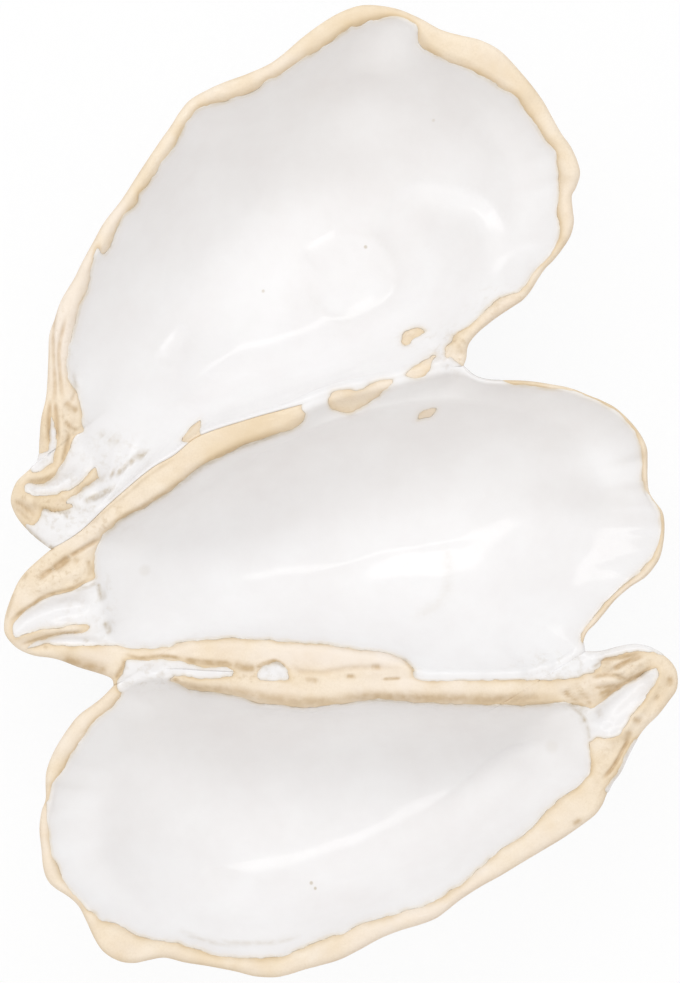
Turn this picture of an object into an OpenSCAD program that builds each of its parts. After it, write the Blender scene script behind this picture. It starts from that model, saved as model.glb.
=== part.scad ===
// Oyster plate: three press-moulded clay oyster shells, luted edge to edge with clay slip.
// Glaze lines every well, coats the backs, pools in the hinge pits and fills the seams' grooves.
// Clay stays bare on the rims and on the flat foot ground under each shell.
// Millimetres, +Z up. The origin is on the table, under the middle of the plate.

/* [Plate] */
// Length of the plate, across the three shells
plate_length = 262; // [220:1:320]
// Width of the plate, along the shells
plate_width = 182; // [150:1:230]
// Height of the highest rim above the table
rim_height = 40; // [32:1:50]

/* [Clay shells] */
// Width of the clay rim where it is plain
rim_w = 4; // [3:0.1:5]
// Rounding of the rim's inner and outer corners
rim_round = 1.2; // [0.8:0.1:1.6]
// Height of the blunt outer edge under the rounding
rim_edge = 2; // [1.5:0.1:4]
// Thickness of the clay under the middle of a well
floor_t = 5; // [4:0.1:8]
// Length that the hinge plate adds to the rim at a shell's pointed end
hinge_len = 22; // [18:0.5:26]

/* [Hinge pits] */
// Depth of the ligament pit in the hinge plate
pit_depth = 3; // [2:0.1:5]
// Width of the pit where it is widest
pit_w = 7; // [5:0.1:8]
// Width of the pit at its pointed end
pit_tip_w = 2; // [1:0.1:4]

/* [Glaze] */
// Depth of the glaze coats, measured straight up or down
glaze_t = 0.6; // [0.3:0.05:1]
// Depth of the glaze pooled in a hinge pit
pool_t = 1.8; // [0.6:0.1:1.9]

/* [Hidden] */

clay_colour = [0.90, 0.78, 0.60];
slip_colour = [0.86, 0.75, 0.58];
glaze_colour = [0.96, 0.95, 0.94];

// Overrun of every cut past the face that it opens
overrun = 1;
// Samples along each stretch between two outline points
curve_steps = 2;
// Largest share of the rim's width that each of its two corners may take
round_limit_share = 0.4;

// How the wells curve up to their rims, and the backs up from the foot
well_curve = 2.8;
back_curve = 1.5;
// Half size of the flat foot as a share of the shell's half size
foot_share = 0.4;
// Rings of a well, as shares of the way from its rim to its middle
well_shares = [0, 0.07, 0.17, 0.32, 0.52, 0.75];
// Rings of a back, as shares of the way from its edge to its middle
back_shares = [0.045, 0.10, 0.23, 0.38, 0.53];
// The back rings that the luted seams reach down to, and that the back glaze starts from
seam_ring = 1;

// The pit starts where the plain rim ends and takes this share of the hinge plate
pit_len_share = 0.56;
// Height of the hinge plates as a share of the rim's height
hinge_height_share = 0.86;
pit_floor_z = rim_height * hinge_height_share - pit_depth;

// The photograph's pixels that the plate spans, which the outlines are placed by
photo_low_px = [5, 6];
photo_high_px = [677, 977];
photo_mid_px = (photo_low_px + photo_high_px) / 2;
photo_span_px = photo_high_px - photo_low_px;

// Hinge tip of each shell and a point that the hinge aims at, in pixels
upper_hinge_px = [[11, 498], [110, 470]];
middle_hinge_px = [[5, 622], [105, 604]];
lower_hinge_px = [[677, 673], [600, 717]];
// Oval that each bowl settles into towards its floor: middle and half sizes in pixels, heading in degrees
upper_oval_px = [[310, 250], [240, 160], -40];
middle_oval_px = [[370, 520], [250, 125], -10];
lower_oval_px = [[320, 812], [250, 115], -18];

// Rows of the free edges: x and y in pixels, rim height share, rim width share, hinge plate share.
// Upper shell, from the left end of the upper seam round the hinge and the bill
upper_edge_px_shares = [
    [52, 549, 0.86, 1.0, 0.75], [22, 523, 0.86, 1.0, 0.88], [11, 500, 0.86, 1.0, 0.95],
    [18, 482, 0.86, 1.0, 0.75], [38, 466, 0.86, 1.0, 0.48], [41, 430, 0.86, 1.2, 0.30],
    [47, 390, 0.88, 1.4, 0.12], [49, 345, 0.89, 1.4, 0], [66, 291, 0.90, 1.3, 0],
    [88, 250, 0.92, 1.0, 0], [126, 192, 0.92, 1.1, 0], [165, 132, 0.93, 1.2, 0],
    [195, 94, 0.91, 1.0, 0], [225, 82, 0.93, 1.1, 0], [270, 60, 0.96, 1.2, 0],
    [325, 19, 0.98, 1.4, 0], [362, 6, 0.97, 1.3, 0], [398, 11, 0.95, 0.9, 0],
    [430, 26, 0.98, 1.8, 0], [485, 42, 1.0, 2.2, 0], [519, 73, 0.99, 1.8, 0],
    [548, 118, 0.96, 1.3, 0], [575, 163, 0.95, 1.3, 0], [570, 195, 0.92, 0.9, 0],
    [572, 222, 0.93, 1.1, 0], [557, 259, 0.90, 0.9, 0], [530, 297, 0.89, 1.0, 0],
    [485, 333, 0.88, 0.9, 0], [466, 352, 0.86, 1.0, 0], [463, 366, 0.86, 1.0, 0],
];
// Middle shell's hinge end, from the left end of the lower seam up to that of the upper seam
middle_hinge_edge_px_shares = [
    [114, 686, 0.86, 1.4, 0.43], [90, 671, 0.86, 1.4, 0.42], [56, 659, 0.86, 1.2, 0.55],
    [24, 654, 0.86, 1.0, 0.90], [8, 639, 0.86, 1.0, 1.0], [5, 620, 0.86, 1.0, 1.0],
    [15, 592, 0.86, 1.0, 0.90], [28, 570, 0.86, 1.0, 0.75], [52, 549, 0.86, 1.1, 0.45],
];
// Middle shell's bill end, from the right end of the upper seam down to that of the lower seam
middle_bill_edge_px_shares = [
    [463, 366, 0.86, 1.0, 0], [483, 379, 0.86, 1.0, 0], [530, 381, 0.88, 1.1, 0],
    [575, 390, 0.90, 1.1, 0], [612, 409, 0.91, 1.0, 0], [640, 440, 0.90, 0.9, 0],
    [646, 470, 0.86, 0.9, 0], [648, 498, 0.83, 0.9, 0], [662, 520, 0.85, 0.9, 0],
    [661, 547, 0.88, 0.9, 0], [650, 572, 0.88, 0.9, 0], [620, 599, 0.86, 1.0, 0],
    [592, 624, 0.85, 1.0, 0], [581, 638, 0.85, 1.0, 0], [584, 652, 0.86, 1.0, 0],
];
// Lower shell, from the right end of the lower seam round the hinge and the bill
lower_edge_px_shares = [
    [584, 652, 0.86, 1.0, 0.50], [612, 648, 0.86, 1.0, 0.62], [640, 645, 0.86, 1.0, 0.80],
    [664, 655, 0.86, 1.0, 0.92], [677, 675, 0.86, 1.0, 0.98], [668, 704, 0.86, 1.0, 0.85],
    [645, 738, 0.86, 1.0, 0.55], [624, 772, 0.86, 1.2, 0.28], [606, 805, 0.87, 1.7, 0.05],
    [588, 822, 0.88, 2.0, 0], [545, 848, 0.90, 2.2, 0], [500, 875, 0.91, 1.8, 0],
    [460, 900, 0.92, 1.2, 0], [438, 917, 0.92, 1.2, 0], [400, 931, 0.90, 1.2, 0],
    [365, 946, 0.89, 1.4, 0], [332, 962, 0.90, 1.6, 0], [300, 968, 0.89, 1.4, 0],
    [268, 977, 0.88, 1.2, 0], [232, 971, 0.88, 1.1, 0], [195, 964, 0.89, 1.2, 0],
    [160, 957, 0.90, 1.2, 0], [130, 963, 0.94, 2.2, 0], [105, 952, 0.95, 2.0, 0],
    [88, 928, 0.92, 1.2, 0], [74, 904, 0.88, 0.9, 0], [49, 884, 0.89, 0.9, 0],
    [41, 858, 0.88, 0.9, 0], [39, 830, 0.86, 0.9, 0], [46, 800, 0.84, 0.9, 0],
    [49, 768, 0.87, 1.0, 0], [63, 737, 0.89, 1.1, 0], [85, 713, 0.88, 0.9, 0],
    [105, 701, 0.86, 0.9, 0], [114, 686, 0.86, 1.0, 0],
];
// Rows of the seams, left to right: x and y in pixels, rim height share, then the rim width and
// hinge plate shares of the shell above the seam and of the shell below it.
upper_seam_px_shares = [
    [52, 549, 0.86, 1.0, 0.75, 1.1, 0.45], [82, 535, 0.87, 1.6, 0.50, 1.6, 0.10],
    [118, 503, 0.90, 2.4, 0.10, 1.9, 0], [158, 467, 0.93, 2.1, 0, 2.0, 0],
    [200, 440, 0.95, 1.7, 0, 2.1, 0], [250, 421, 0.96, 1.3, 0, 1.9, 0],
    [300, 404, 0.95, 1.1, 0, 1.2, 0], [345, 391, 0.93, 1.0, 0, 1.2, 0],
    [390, 381, 0.90, 1.0, 0, 1.0, 0], [430, 371, 0.88, 1.0, 0, 1.0, 0],
    [463, 366, 0.86, 1.0, 0, 1.0, 0],
];
lower_seam_px_shares = [
    [114, 686, 0.86, 1.4, 0.43, 1.0, 0], [140, 674, 0.88, 2.7, 0, 1.2, 0],
    [170, 669, 0.90, 2.7, 0, 1.4, 0], [215, 670, 0.92, 2.8, 0, 1.7, 0],
    [265, 671, 0.94, 2.6, 0, 2.0, 0], [315, 674, 0.96, 2.1, 0, 2.0, 0],
    [365, 676, 0.97, 1.7, 0, 1.7, 0], [415, 678, 0.97, 1.2, 0, 1.8, 0],
    [460, 678, 0.96, 1.2, 0, 2.1, 0], [505, 677, 0.94, 1.3, 0, 2.5, 0.05],
    [541, 672, 0.90, 1.4, 0, 2.3, 0.15], [567, 662, 0.88, 1.2, 0, 1.6, 0.35],
    [584, 652, 0.86, 1.0, 0, 1.0, 0.50],
];

// Curves through the rows

// A point of a smooth curve between rows b and c, with every column blended alike
function smooth_row(a, b, c, d, t) =
    (2 * b + (c - a) * t + (2 * a - 5 * b + 4 * c - d) * t * t + (3 * b - a - 3 * c + d) * t * t * t) / 2;

// An open smooth curve through all rows, with its last row left to the next curve
function curve(rows) =
    let (last = len(rows) - 1)
    [for (k = [0:last - 1]) for (j = [0:curve_steps - 1])
        smooth_row(rows[max(k - 1, 0)], rows[k], rows[k + 1], rows[min(k + 2, last)], j / curve_steps)];

// The same curve with its last row
function whole_curve(rows) = concat(curve(rows), [rows[len(rows) - 1]]);

function reversed(rows) = [for (k = [len(rows) - 1:-1:0]) rows[k]];

// A seam's rows as the shell above it or below it reads them
function above(rows) = [for (r = rows) [r[0], r[1], r[2], r[3], r[4]]];
function below(rows) = [for (r = rows) [r[0], r[1], r[2], r[5], r[6]]];

upper_seam_rows = whole_curve(upper_seam_px_shares);
lower_seam_rows = whole_curve(lower_seam_px_shares);

function but_last(rows) = [for (k = [0:len(rows) - 2]) rows[k]];

// Outline of each shell, clockwise from above
upper_outline = concat(curve(upper_edge_px_shares), but_last(reversed(above(upper_seam_rows))));
middle_outline = concat(
    but_last(below(upper_seam_rows)), curve(middle_bill_edge_px_shares),
    but_last(reversed(above(lower_seam_rows))), curve(middle_hinge_edge_px_shares)
);
lower_outline = concat(but_last(below(lower_seam_rows)), curve(lower_edge_px_shares));

// Places of a shell's surface

// A pixel of the photograph, on the plan
function plan(px) = [
    (px[0] - photo_mid_px[0]) * plate_width / photo_span_px[0],
    (photo_mid_px[1] - px[1]) * plate_length / photo_span_px[1],
];

// A way on the plan, in pixels
function way_px(way) = [
    way[0] * photo_span_px[0] / plate_width,
    -way[1] * photo_span_px[1] / plate_length,
];

// How many times its oval's own reach a way goes
function oval_reach(way, oval_px) =
    let (w = way_px(way), turn = oval_px[2], half = oval_px[1])
    norm([
        (w[0] * cos(turn) + w[1] * sin(turn)) / half[0],
        (w[1] * cos(turn) - w[0] * sin(turn)) / half[1],
    ]);

// A share of the way from a point to the oval's middle, easing from the outline into the oval
function eased_in(from, oval_px, share) =
    let (
        middle = plan(oval_px[0]),
        way = from - middle,
        ease = share * (2 - share)
    )
    middle + way * (1 + (1 / oval_reach(way, oval_px) - 1) * ease) * (1 - share);

function rim_z(row) = rim_height * row[2];
function lip_w(row) = rim_w * row[3] + hinge_len * row[4];
function raised(flat, z) = [flat[0], flat[1], z];

// The point that lies a length in from the outline, on the line to the oval's middle
function inset(row, oval_px, length) =
    let (p = plan(row), way = plan(oval_px[0]) - p) p + way * length / norm(way);

// Rings of the rim: under the edge, over the edge, the crest's two sides and the well's brink
function rim_point(row, oval_px, ring) =
    let (lip = lip_w(row), corner = min(rim_round, lip * round_limit_share))
    ring == 0 ? raised(plan(row), rim_z(row) - rim_round - rim_edge)
    : ring == 1 ? raised(plan(row), rim_z(row) - rim_round)
    : ring == 2 ? raised(inset(row, oval_px, corner), rim_z(row))
    : ring == 3 ? raised(inset(row, oval_px, lip - corner), rim_z(row))
    : raised(inset(row, oval_px, lip), rim_z(row) - rim_round);

// A point of the well, a share of the way from the brink to the middle
function well_point(row, oval_px, share) =
    let (brink = rim_point(row, oval_px, 4))
    raised(
        eased_in([brink[0], brink[1]], oval_px, share),
        floor_t + (brink[2] - floor_t) * pow(1 - share, well_curve)
    );

// A point of the back, a share of the way from the edge to the middle, above the foot
function back_point(row, oval_px, share) =
    let (edge = rim_point(row, oval_px, 0))
    raised(
        eased_in(plan(row), oval_px, share),
        edge[2] * pow((1 - share - foot_share) / (1 - foot_share), back_curve)
    );

// The foot's outline, sunk below the table by the overrun that grinding takes off
function foot_point(row, oval_px) = raised(eased_in(plan(row), oval_px, 1 - foot_share), -overrun);

// The middle of a shell at a height
function middle_point(oval_px, z) = raised(plan(oval_px[0]), z);

function lifted(points, height) = [for (p = points) p + [0, 0, height]];

// Rings of one shell from the foot out to the edge, over the rim and down into the well
function back_rings(outline, oval_px) =
    [for (s = back_shares) [for (r = outline) back_point(r, oval_px, s)]];
function rim_rings(outline, oval_px) =
    [for (k = [0:3]) [for (r = outline) rim_point(r, oval_px, k)]];
function well_rings(outline, oval_px) =
    [for (s = well_shares) [for (r = outline) well_point(r, oval_px, s)]];

// Faces of ringed and swept solids

function joined(lists) = [for (l = lists) each l];

// Two triangles for each step round between ring a and ring b, split along one diagonal or the other
function band_faces(a, b, count, flip = false) =
    [for (i = [0:count - 1]) let (j = (i + 1) % count)
        each flip
            ? [[a * count + i, a * count + j, b * count + i], [a * count + j, b * count + j, b * count + i]]
            : [[a * count + i, a * count + j, b * count + j], [a * count + i, b * count + j, b * count + i]]];

// A fan from the point with index tip onto a ring
function fan_faces(ring, tip, count, inward) =
    [for (i = [0:count - 1]) let (j = (i + 1) % count)
        inward ? [ring * count + i, ring * count + j, tip] : [ring * count + j, ring * count + i, tip]];

// A closed solid between two middle points, through rings listed from the first round to the second.
// The rings up to flip_to are split the other way, so that they lie face to face on another solid.
module ringed_solid(first, rings, second, flip_to = 0) {
    count = len(rings[0]);
    last = len(rings) - 1;
    points = concat(joined(rings), [first, second]);
    faces = concat(
        fan_faces(0, len(points) - 2, count, false),
        joined([for (k = [0:last - 1]) band_faces(k, k + 1, count, k < flip_to)]),
        fan_faces(last, len(points) - 1, count, true)
    );
    polyhedron(points = points, faces = faces, convexity = 8);
}

// A closed hoop of rings, the last joined to the first
module hoop_solid(rings, flip_from) {
    count = len(rings[0]);
    total = len(rings);
    faces = joined([for (k = [0:total - 1]) band_faces(k, (k + 1) % total, count, k >= flip_from)]);
    polyhedron(points = joined(rings), faces = faces, convexity = 8);
}

// A bar with flat ends through sections of the same point count
module swept_solid(sections) {
    sides = len(sections[0]);
    last = len(sections) - 1;
    strips = [for (s = [0:last - 1]) for (k = [0:sides - 1]) let (n = (k + 1) % sides)
        each [
            [s * sides + k, (s + 1) * sides + n, (s + 1) * sides + k],
            [s * sides + k, s * sides + n, (s + 1) * sides + n],
        ]];
    caps = [for (k = [1:sides - 2])
        each [[0, k + 1, k], [last * sides, last * sides + k, last * sides + k + 1]]];
    polyhedron(points = joined(sections), faces = concat(strips, caps), convexity = 8);
}

// Pieces

// The tapered ligament pit, drawn along the hinge from its tip towards the well
module pit_outline(hinge_px) {
    tip = plan(hinge_px[0]);
    way = plan(hinge_px[1]) - tip;
    pit_len = hinge_len * pit_len_share;
    translate(tip) rotate(atan2(way[1], way[0])) hull() {
        translate([rim_w + pit_tip_w / 2, 0]) circle(d = pit_tip_w, $fn = 24);
        translate([rim_w + pit_len - pit_w / 2, 0]) circle(d = pit_w, $fn = 32);
    }
}

// One clay shell: a shell-shaped bowl with its hinge pit cut in and its foot ground flat
module clay_shell(outline, oval_px, hinge_px) {
    rings = concat(
        [[for (r = outline) foot_point(r, oval_px)]],
        reversed(back_rings(outline, oval_px)),
        rim_rings(outline, oval_px),
        well_rings(outline, oval_px)
    );
    color(clay_colour) difference() {
        ringed_solid(middle_point(oval_px, -overrun), rings, middle_point(oval_px, floor_t));
        translate([0, 0, pit_floor_z]) linear_extrude(height = rim_height) pit_outline(hinge_px);
        translate([-plate_width, -plate_length, -2 * overrun])
            cube([2 * plate_width, 2 * plate_length, 2 * overrun]);
    }
}

// The glaze lining of a well, lying on the clay
module well_glaze(outline, oval_px) {
    under = reversed(well_rings(outline, oval_px));
    over = [for (ring = well_rings(outline, oval_px)) lifted(ring, glaze_t)];
    color(glaze_colour) ringed_solid(
        middle_point(oval_px, floor_t), concat(under, over),
        middle_point(oval_px, floor_t + glaze_t), len(under) - 1
    );
}

// The glaze coat of a back, from the luted seams' edge down to the bare foot
module back_glaze(outline, oval_px) {
    on_clay = [for (k = [seam_ring:len(back_shares) - 1]) back_rings(outline, oval_px)[k]];
    outside = reversed([for (ring = on_clay) lifted(ring, -glaze_t)]);
    color(glaze_colour) hoop_solid(concat(outside, on_clay), len(outside));
}

// The glaze pooled in a hinge pit
module hinge_glaze(hinge_px) {
    color(glaze_colour) translate([0, 0, pit_floor_z])
        linear_extrude(height = min(pool_t, pit_depth)) pit_outline(hinge_px);
}

// The coil of clay slip that lutes two shells together under their touching edges
module seam_slip(rows, oval_above, oval_below) {
    sections = [for (r = rows) let (a = above([r])[0], b = below([r])[0]) concat(
        [rim_point(a, oval_above, 0)],
        [for (k = [0:seam_ring]) back_point(a, oval_above, back_shares[k])],
        [for (k = [seam_ring:-1:0]) back_point(b, oval_below, back_shares[k])]
    )];
    color(slip_colour) swept_solid(sections);
}

// The glaze that fills the groove between two touching rims
module seam_glaze(rows, oval_above, oval_below) {
    sections = [for (r = rows) let (a = above([r])[0], b = below([r])[0]) [
        rim_point(a, oval_above, 1), rim_point(b, oval_below, 2), rim_point(a, oval_above, 2),
    ]];
    color(glaze_colour) swept_solid(sections);
}

clay_shell(upper_outline, upper_oval_px, upper_hinge_px);  // upper_shell
clay_shell(middle_outline, middle_oval_px, middle_hinge_px);  // middle_shell
clay_shell(lower_outline, lower_oval_px, lower_hinge_px);  // lower_shell
seam_slip(upper_seam_rows, upper_oval_px, middle_oval_px);  // upper_seam
seam_slip(lower_seam_rows, middle_oval_px, lower_oval_px);  // lower_seam
well_glaze(upper_outline, upper_oval_px);  // upper_well_glaze
well_glaze(middle_outline, middle_oval_px);  // middle_well_glaze
well_glaze(lower_outline, lower_oval_px);  // lower_well_glaze
back_glaze(upper_outline, upper_oval_px);  // upper_back_glaze
back_glaze(middle_outline, middle_oval_px);  // middle_back_glaze
back_glaze(lower_outline, lower_oval_px);  // lower_back_glaze
hinge_glaze(upper_hinge_px);  // upper_hinge_glaze
hinge_glaze(middle_hinge_px);  // middle_hinge_glaze
hinge_glaze(lower_hinge_px);  // lower_hinge_glaze
seam_glaze(upper_seam_rows, upper_oval_px, middle_oval_px);  // upper_seam_glaze
seam_glaze(lower_seam_rows, middle_oval_px, lower_oval_px);  // lower_seam_glaze
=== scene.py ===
"""Looks of the oyster plate: three glazed clay shells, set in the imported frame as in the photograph."""

import bpy
import numpy as np
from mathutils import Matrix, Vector


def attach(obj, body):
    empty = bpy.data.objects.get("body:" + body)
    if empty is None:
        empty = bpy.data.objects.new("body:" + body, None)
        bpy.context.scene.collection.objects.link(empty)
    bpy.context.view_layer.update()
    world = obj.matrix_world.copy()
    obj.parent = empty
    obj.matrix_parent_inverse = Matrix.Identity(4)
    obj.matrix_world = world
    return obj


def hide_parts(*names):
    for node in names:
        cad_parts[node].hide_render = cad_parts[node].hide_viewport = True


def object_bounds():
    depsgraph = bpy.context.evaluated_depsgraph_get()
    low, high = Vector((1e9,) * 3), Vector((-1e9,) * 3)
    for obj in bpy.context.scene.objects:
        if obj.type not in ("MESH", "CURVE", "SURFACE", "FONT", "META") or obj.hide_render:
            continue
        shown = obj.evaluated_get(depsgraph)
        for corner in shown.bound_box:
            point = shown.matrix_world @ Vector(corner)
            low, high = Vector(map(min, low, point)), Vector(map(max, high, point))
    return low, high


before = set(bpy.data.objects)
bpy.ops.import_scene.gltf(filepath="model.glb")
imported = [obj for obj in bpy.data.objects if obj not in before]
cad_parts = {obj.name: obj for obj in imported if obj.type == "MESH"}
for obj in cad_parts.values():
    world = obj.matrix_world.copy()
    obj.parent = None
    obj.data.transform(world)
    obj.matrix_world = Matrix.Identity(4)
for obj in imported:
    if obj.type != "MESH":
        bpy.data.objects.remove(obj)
cad_low, cad_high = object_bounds()

# Scale of the photograph
# Plan places are its pixels, x to the right and y down. Heights, widths and thicknesses are mm.
MM = 1000.0
PHOTO_LOW = np.array([5.0, 6.0])
PHOTO_HIGH = np.array([677.0, 977.0])
PHOTO_SIZE = np.array([680.0, 983.0])
BOX_LOW = np.array(cad_low) * MM
BOX_HIGH = np.array(cad_high) * MM
MM_PER_PX = (BOX_HIGH[:2] - BOX_LOW[:2]) / (PHOTO_HIGH - PHOTO_LOW)
PX = float(MM_PER_PX.mean())
RIM_HEIGHT = BOX_HIGH[2]

# Middle, half sizes and heading of the oval that each bowl settles into
OVALS = {
    "upper": ((310, 250), (240, 160), -40),
    "middle": ((370, 520), (250, 125), -10),
    "lower": ((320, 812), (250, 115), -18),
}

# Free edges of the shells, and the seams where two of them touch
UPPER_EDGE = [
    (52, 549), (40, 540), (28, 530), (18, 518), (12, 505), (12, 495), (17, 482), (27, 472), (38, 462),
    (40, 440), (42, 418), (47, 395), (49, 360), (50, 335), (55, 320), (62, 300), (75, 278), (83, 262),
    (95, 240), (105, 222), (122, 200), (140, 172), (160, 142), (172, 125), (180, 112), (190, 100),
    (205, 91), (225, 82), (250, 73), (270, 64), (285, 53), (300, 40), (320, 25), (340, 13), (360, 6),
    (380, 6), (400, 10), (420, 19), (440, 30), (460, 36), (480, 41), (500, 52), (520, 73), (540, 98),
    (550, 115), (560, 133), (570, 147), (577, 163), (579, 175), (575, 188), (571, 196), (572, 210),
    (573, 222), (570, 235), (563, 247), (553, 260), (545, 268), (538, 278), (530, 291), (522, 300),
    (510, 308), (498, 316), (490, 322), (477, 333), (468, 345), (466, 358), (463, 366),
]
UPPER_SEAM = [
    (52, 549), (80, 532), (112, 502), (150, 470), (175, 455), (200, 436), (250, 419), (300, 405),
    (345, 391), (390, 381), (430, 370), (463, 366),
]
BILL_EDGE = [
    (463, 366), (475, 376), (490, 380), (510, 380), (530, 381), (550, 384), (570, 388), (590, 396),
    (600, 400), (615, 408), (630, 422), (640, 435), (646, 448), (647, 462), (647, 478), (649, 492),
    (655, 502), (662, 512), (664, 525), (663, 540), (660, 555), (655, 565), (645, 577), (630, 587),
    (615, 600), (605, 612), (595, 624), (587, 632), (583, 642), (584, 652),
]
LOWER_SEAM = [
    (114, 686), (140, 674), (170, 669), (215, 671), (265, 673), (315, 674), (365, 676), (415, 678),
    (460, 678), (505, 678), (541, 674), (567, 664), (584, 652),
]
HINGE_EDGE = [
    (114, 686), (112, 679), (100, 674), (80, 668), (62, 661), (50, 658), (35, 656), (20, 650), (10, 641),
    (5, 632), (5, 620), (8, 608), (14, 592), (20, 580), (28, 570), (40, 559), (52, 549),
]
LOWER_EDGE = [
    (584, 652), (600, 652), (620, 647), (635, 645), (650, 648), (665, 657), (674, 667), (677, 677),
    (676, 690), (668, 702), (658, 715), (645, 728), (635, 742), (627, 757), (620, 772), (612, 783),
    (606, 795), (602, 805), (595, 815), (585, 823), (575, 830), (560, 840), (540, 852), (520, 864),
    (500, 876), (480, 887), (460, 900), (445, 912), (435, 919), (420, 925), (400, 931), (380, 939),
    (360, 950), (340, 960), (320, 966), (305, 970), (290, 975), (275, 978), (255, 977), (235, 972),
    (210, 967), (185, 963), (165, 958), (150, 960), (135, 963), (120, 961), (105, 952), (95, 938),
    (88, 923), (80, 908), (70, 898), (55, 888), (48, 880), (44, 868), (42, 850), (40, 830), (42, 812),
    (46, 800), (46, 785), (47, 772), (52, 757), (60, 742), (70, 727), (80, 715), (100, 700), (114, 686),
]
# The shells above and below each seam
SEAM_SHELLS = {"upper": ("upper", "middle"), "lower": ("middle", "lower")}

# Rim height at places along the edges, as a share of the plate's height
RISE = np.array([
    (52, 549, 0.86), (11, 500, 0.86), (38, 466, 0.86), (47, 390, 0.88), (49, 345, 0.89), (66, 291, 0.90),
    (88, 250, 0.92), (126, 192, 0.92), (165, 132, 0.93), (195, 94, 0.91), (225, 82, 0.93), (270, 60, 0.96),
    (325, 19, 0.98), (362, 6, 0.97), (398, 11, 0.95), (430, 26, 0.98), (485, 42, 1.0), (519, 73, 0.99),
    (548, 118, 0.96), (575, 163, 0.95), (570, 195, 0.92), (572, 222, 0.93), (557, 259, 0.90),
    (530, 297, 0.89), (485, 333, 0.88), (463, 366, 0.86), (90, 671, 0.86), (24, 654, 0.86), (5, 620, 0.86),
    (28, 570, 0.86), (530, 381, 0.88), (575, 390, 0.90), (612, 409, 0.91), (640, 440, 0.90),
    (646, 470, 0.86), (648, 498, 0.83), (662, 520, 0.85), (661, 547, 0.88), (650, 572, 0.88),
    (620, 599, 0.86), (584, 652, 0.86), (640, 645, 0.86), (677, 675, 0.86), (645, 738, 0.86),
    (606, 805, 0.87), (545, 848, 0.90), (460, 900, 0.92), (400, 931, 0.90), (332, 962, 0.90),
    (268, 977, 0.88), (195, 964, 0.89), (130, 963, 0.94), (105, 952, 0.95), (88, 928, 0.92),
    (74, 904, 0.88), (49, 884, 0.89), (39, 830, 0.86), (46, 800, 0.84), (49, 768, 0.87), (63, 737, 0.89),
    (114, 686, 0.86), (82, 535, 0.87), (118, 503, 0.90), (158, 467, 0.93), (200, 440, 0.95),
    (250, 421, 0.96), (300, 404, 0.95), (345, 391, 0.93), (390, 381, 0.90), (430, 371, 0.88),
    (140, 674, 0.88), (170, 669, 0.90), (215, 670, 0.92), (265, 671, 0.94), (315, 674, 0.96),
    (365, 676, 0.97), (415, 678, 0.97), (460, 678, 0.96), (505, 677, 0.94), (541, 672, 0.90),
    (567, 662, 0.88),
])

# Edge of the white glaze of each well
WELLS = {
    "upper": [
        (116, 512), (134, 497), (154, 482), (180, 466), (206, 449), (230, 441), (254, 433), (303, 419),
        (348, 405), (393, 395), (430, 382), (446, 366), (446, 349), (454, 337), (468, 326), (488, 308),
        (500, 298), (515, 293), (525, 285), (535, 270), (548, 258), (557, 240), (560, 225), (557, 215),
        (558, 200), (559, 185), (557, 170), (555, 153), (545, 140), (535, 125), (525, 112), (515, 97),
        (500, 88), (480, 76), (460, 66), (440, 58), (427, 51), (419, 44), (417, 28), (411, 22), (398, 17),
        (380, 19), (360, 25), (340, 34), (330, 44), (300, 61), (280, 76), (265, 82), (255, 91), (222, 102),
        (200, 108), (187, 122), (178, 142), (163, 163), (150, 182), (140, 193), (137, 203), (128, 212),
        (120, 222), (108, 250), (103, 254), (98, 248), (92, 268), (88, 288), (80, 305), (75, 325),
        (70, 345), (68, 365), (70, 380), (78, 395), (81, 408), (84, 430), (90, 455), (100, 478),
    ],
    "middle": [
        (100, 540), (120, 521), (150, 505), (180, 484), (200, 467), (225, 455), (240, 447), (260, 440),
        (285, 431), (300, 425), (306, 415), (307, 396), (330, 382), (345, 377), (390, 367), (430, 356),
        (462, 358), (478, 372), (492, 378), (503, 380), (511, 384), (530, 386), (552, 388), (568, 390),
        (590, 398), (612, 409), (628, 424), (637, 438), (641, 455), (641, 470), (644, 488), (651, 499),
        (658, 510), (660, 525), (658, 541), (651, 556), (644, 567), (632, 579), (617, 591), (603, 605),
        (592, 619), (584, 630), (580, 640), (588, 655), (574, 678), (560, 690), (540, 692), (520, 692),
        (480, 692), (440, 692), (420, 688), (416, 672), (408, 663), (400, 658), (385, 653), (360, 650),
        (330, 645), (300, 643), (275, 641), (250, 639), (225, 639), (200, 640), (180, 643), (165, 648),
        (128, 648), (113, 642), (109, 622), (104, 602), (98, 583), (95, 570), (95, 555),
    ],
    "lower": [
        (118, 702), (122, 690), (122, 676), (135, 667), (155, 668), (170, 678), (185, 687), (200, 691),
        (225, 693), (245, 698), (260, 703), (285, 705), (310, 707), (335, 704), (360, 701), (380, 699),
        (400, 701), (430, 703), (460, 704), (500, 705), (530, 705), (560, 703), (567, 703), (576, 710),
        (584, 720), (589, 735), (590, 755), (590, 770), (580, 785), (560, 800), (540, 818), (520, 838),
        (500, 850), (480, 868), (460, 885), (440, 897), (420, 908), (400, 913), (380, 920), (360, 925),
        (345, 933), (320, 941), (300, 950), (280, 958), (250, 959), (220, 957), (205, 952), (190, 948),
        (175, 943), (155, 940), (135, 935), (118, 925), (100, 920), (95, 913), (85, 907), (75, 895),
        (66, 883), (60, 870), (53, 855), (50, 835), (48, 818), (47, 803), (50, 797), (55, 782), (65, 768),
        (75, 750), (85, 735), (95, 722), (105, 713),
    ],
}

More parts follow.
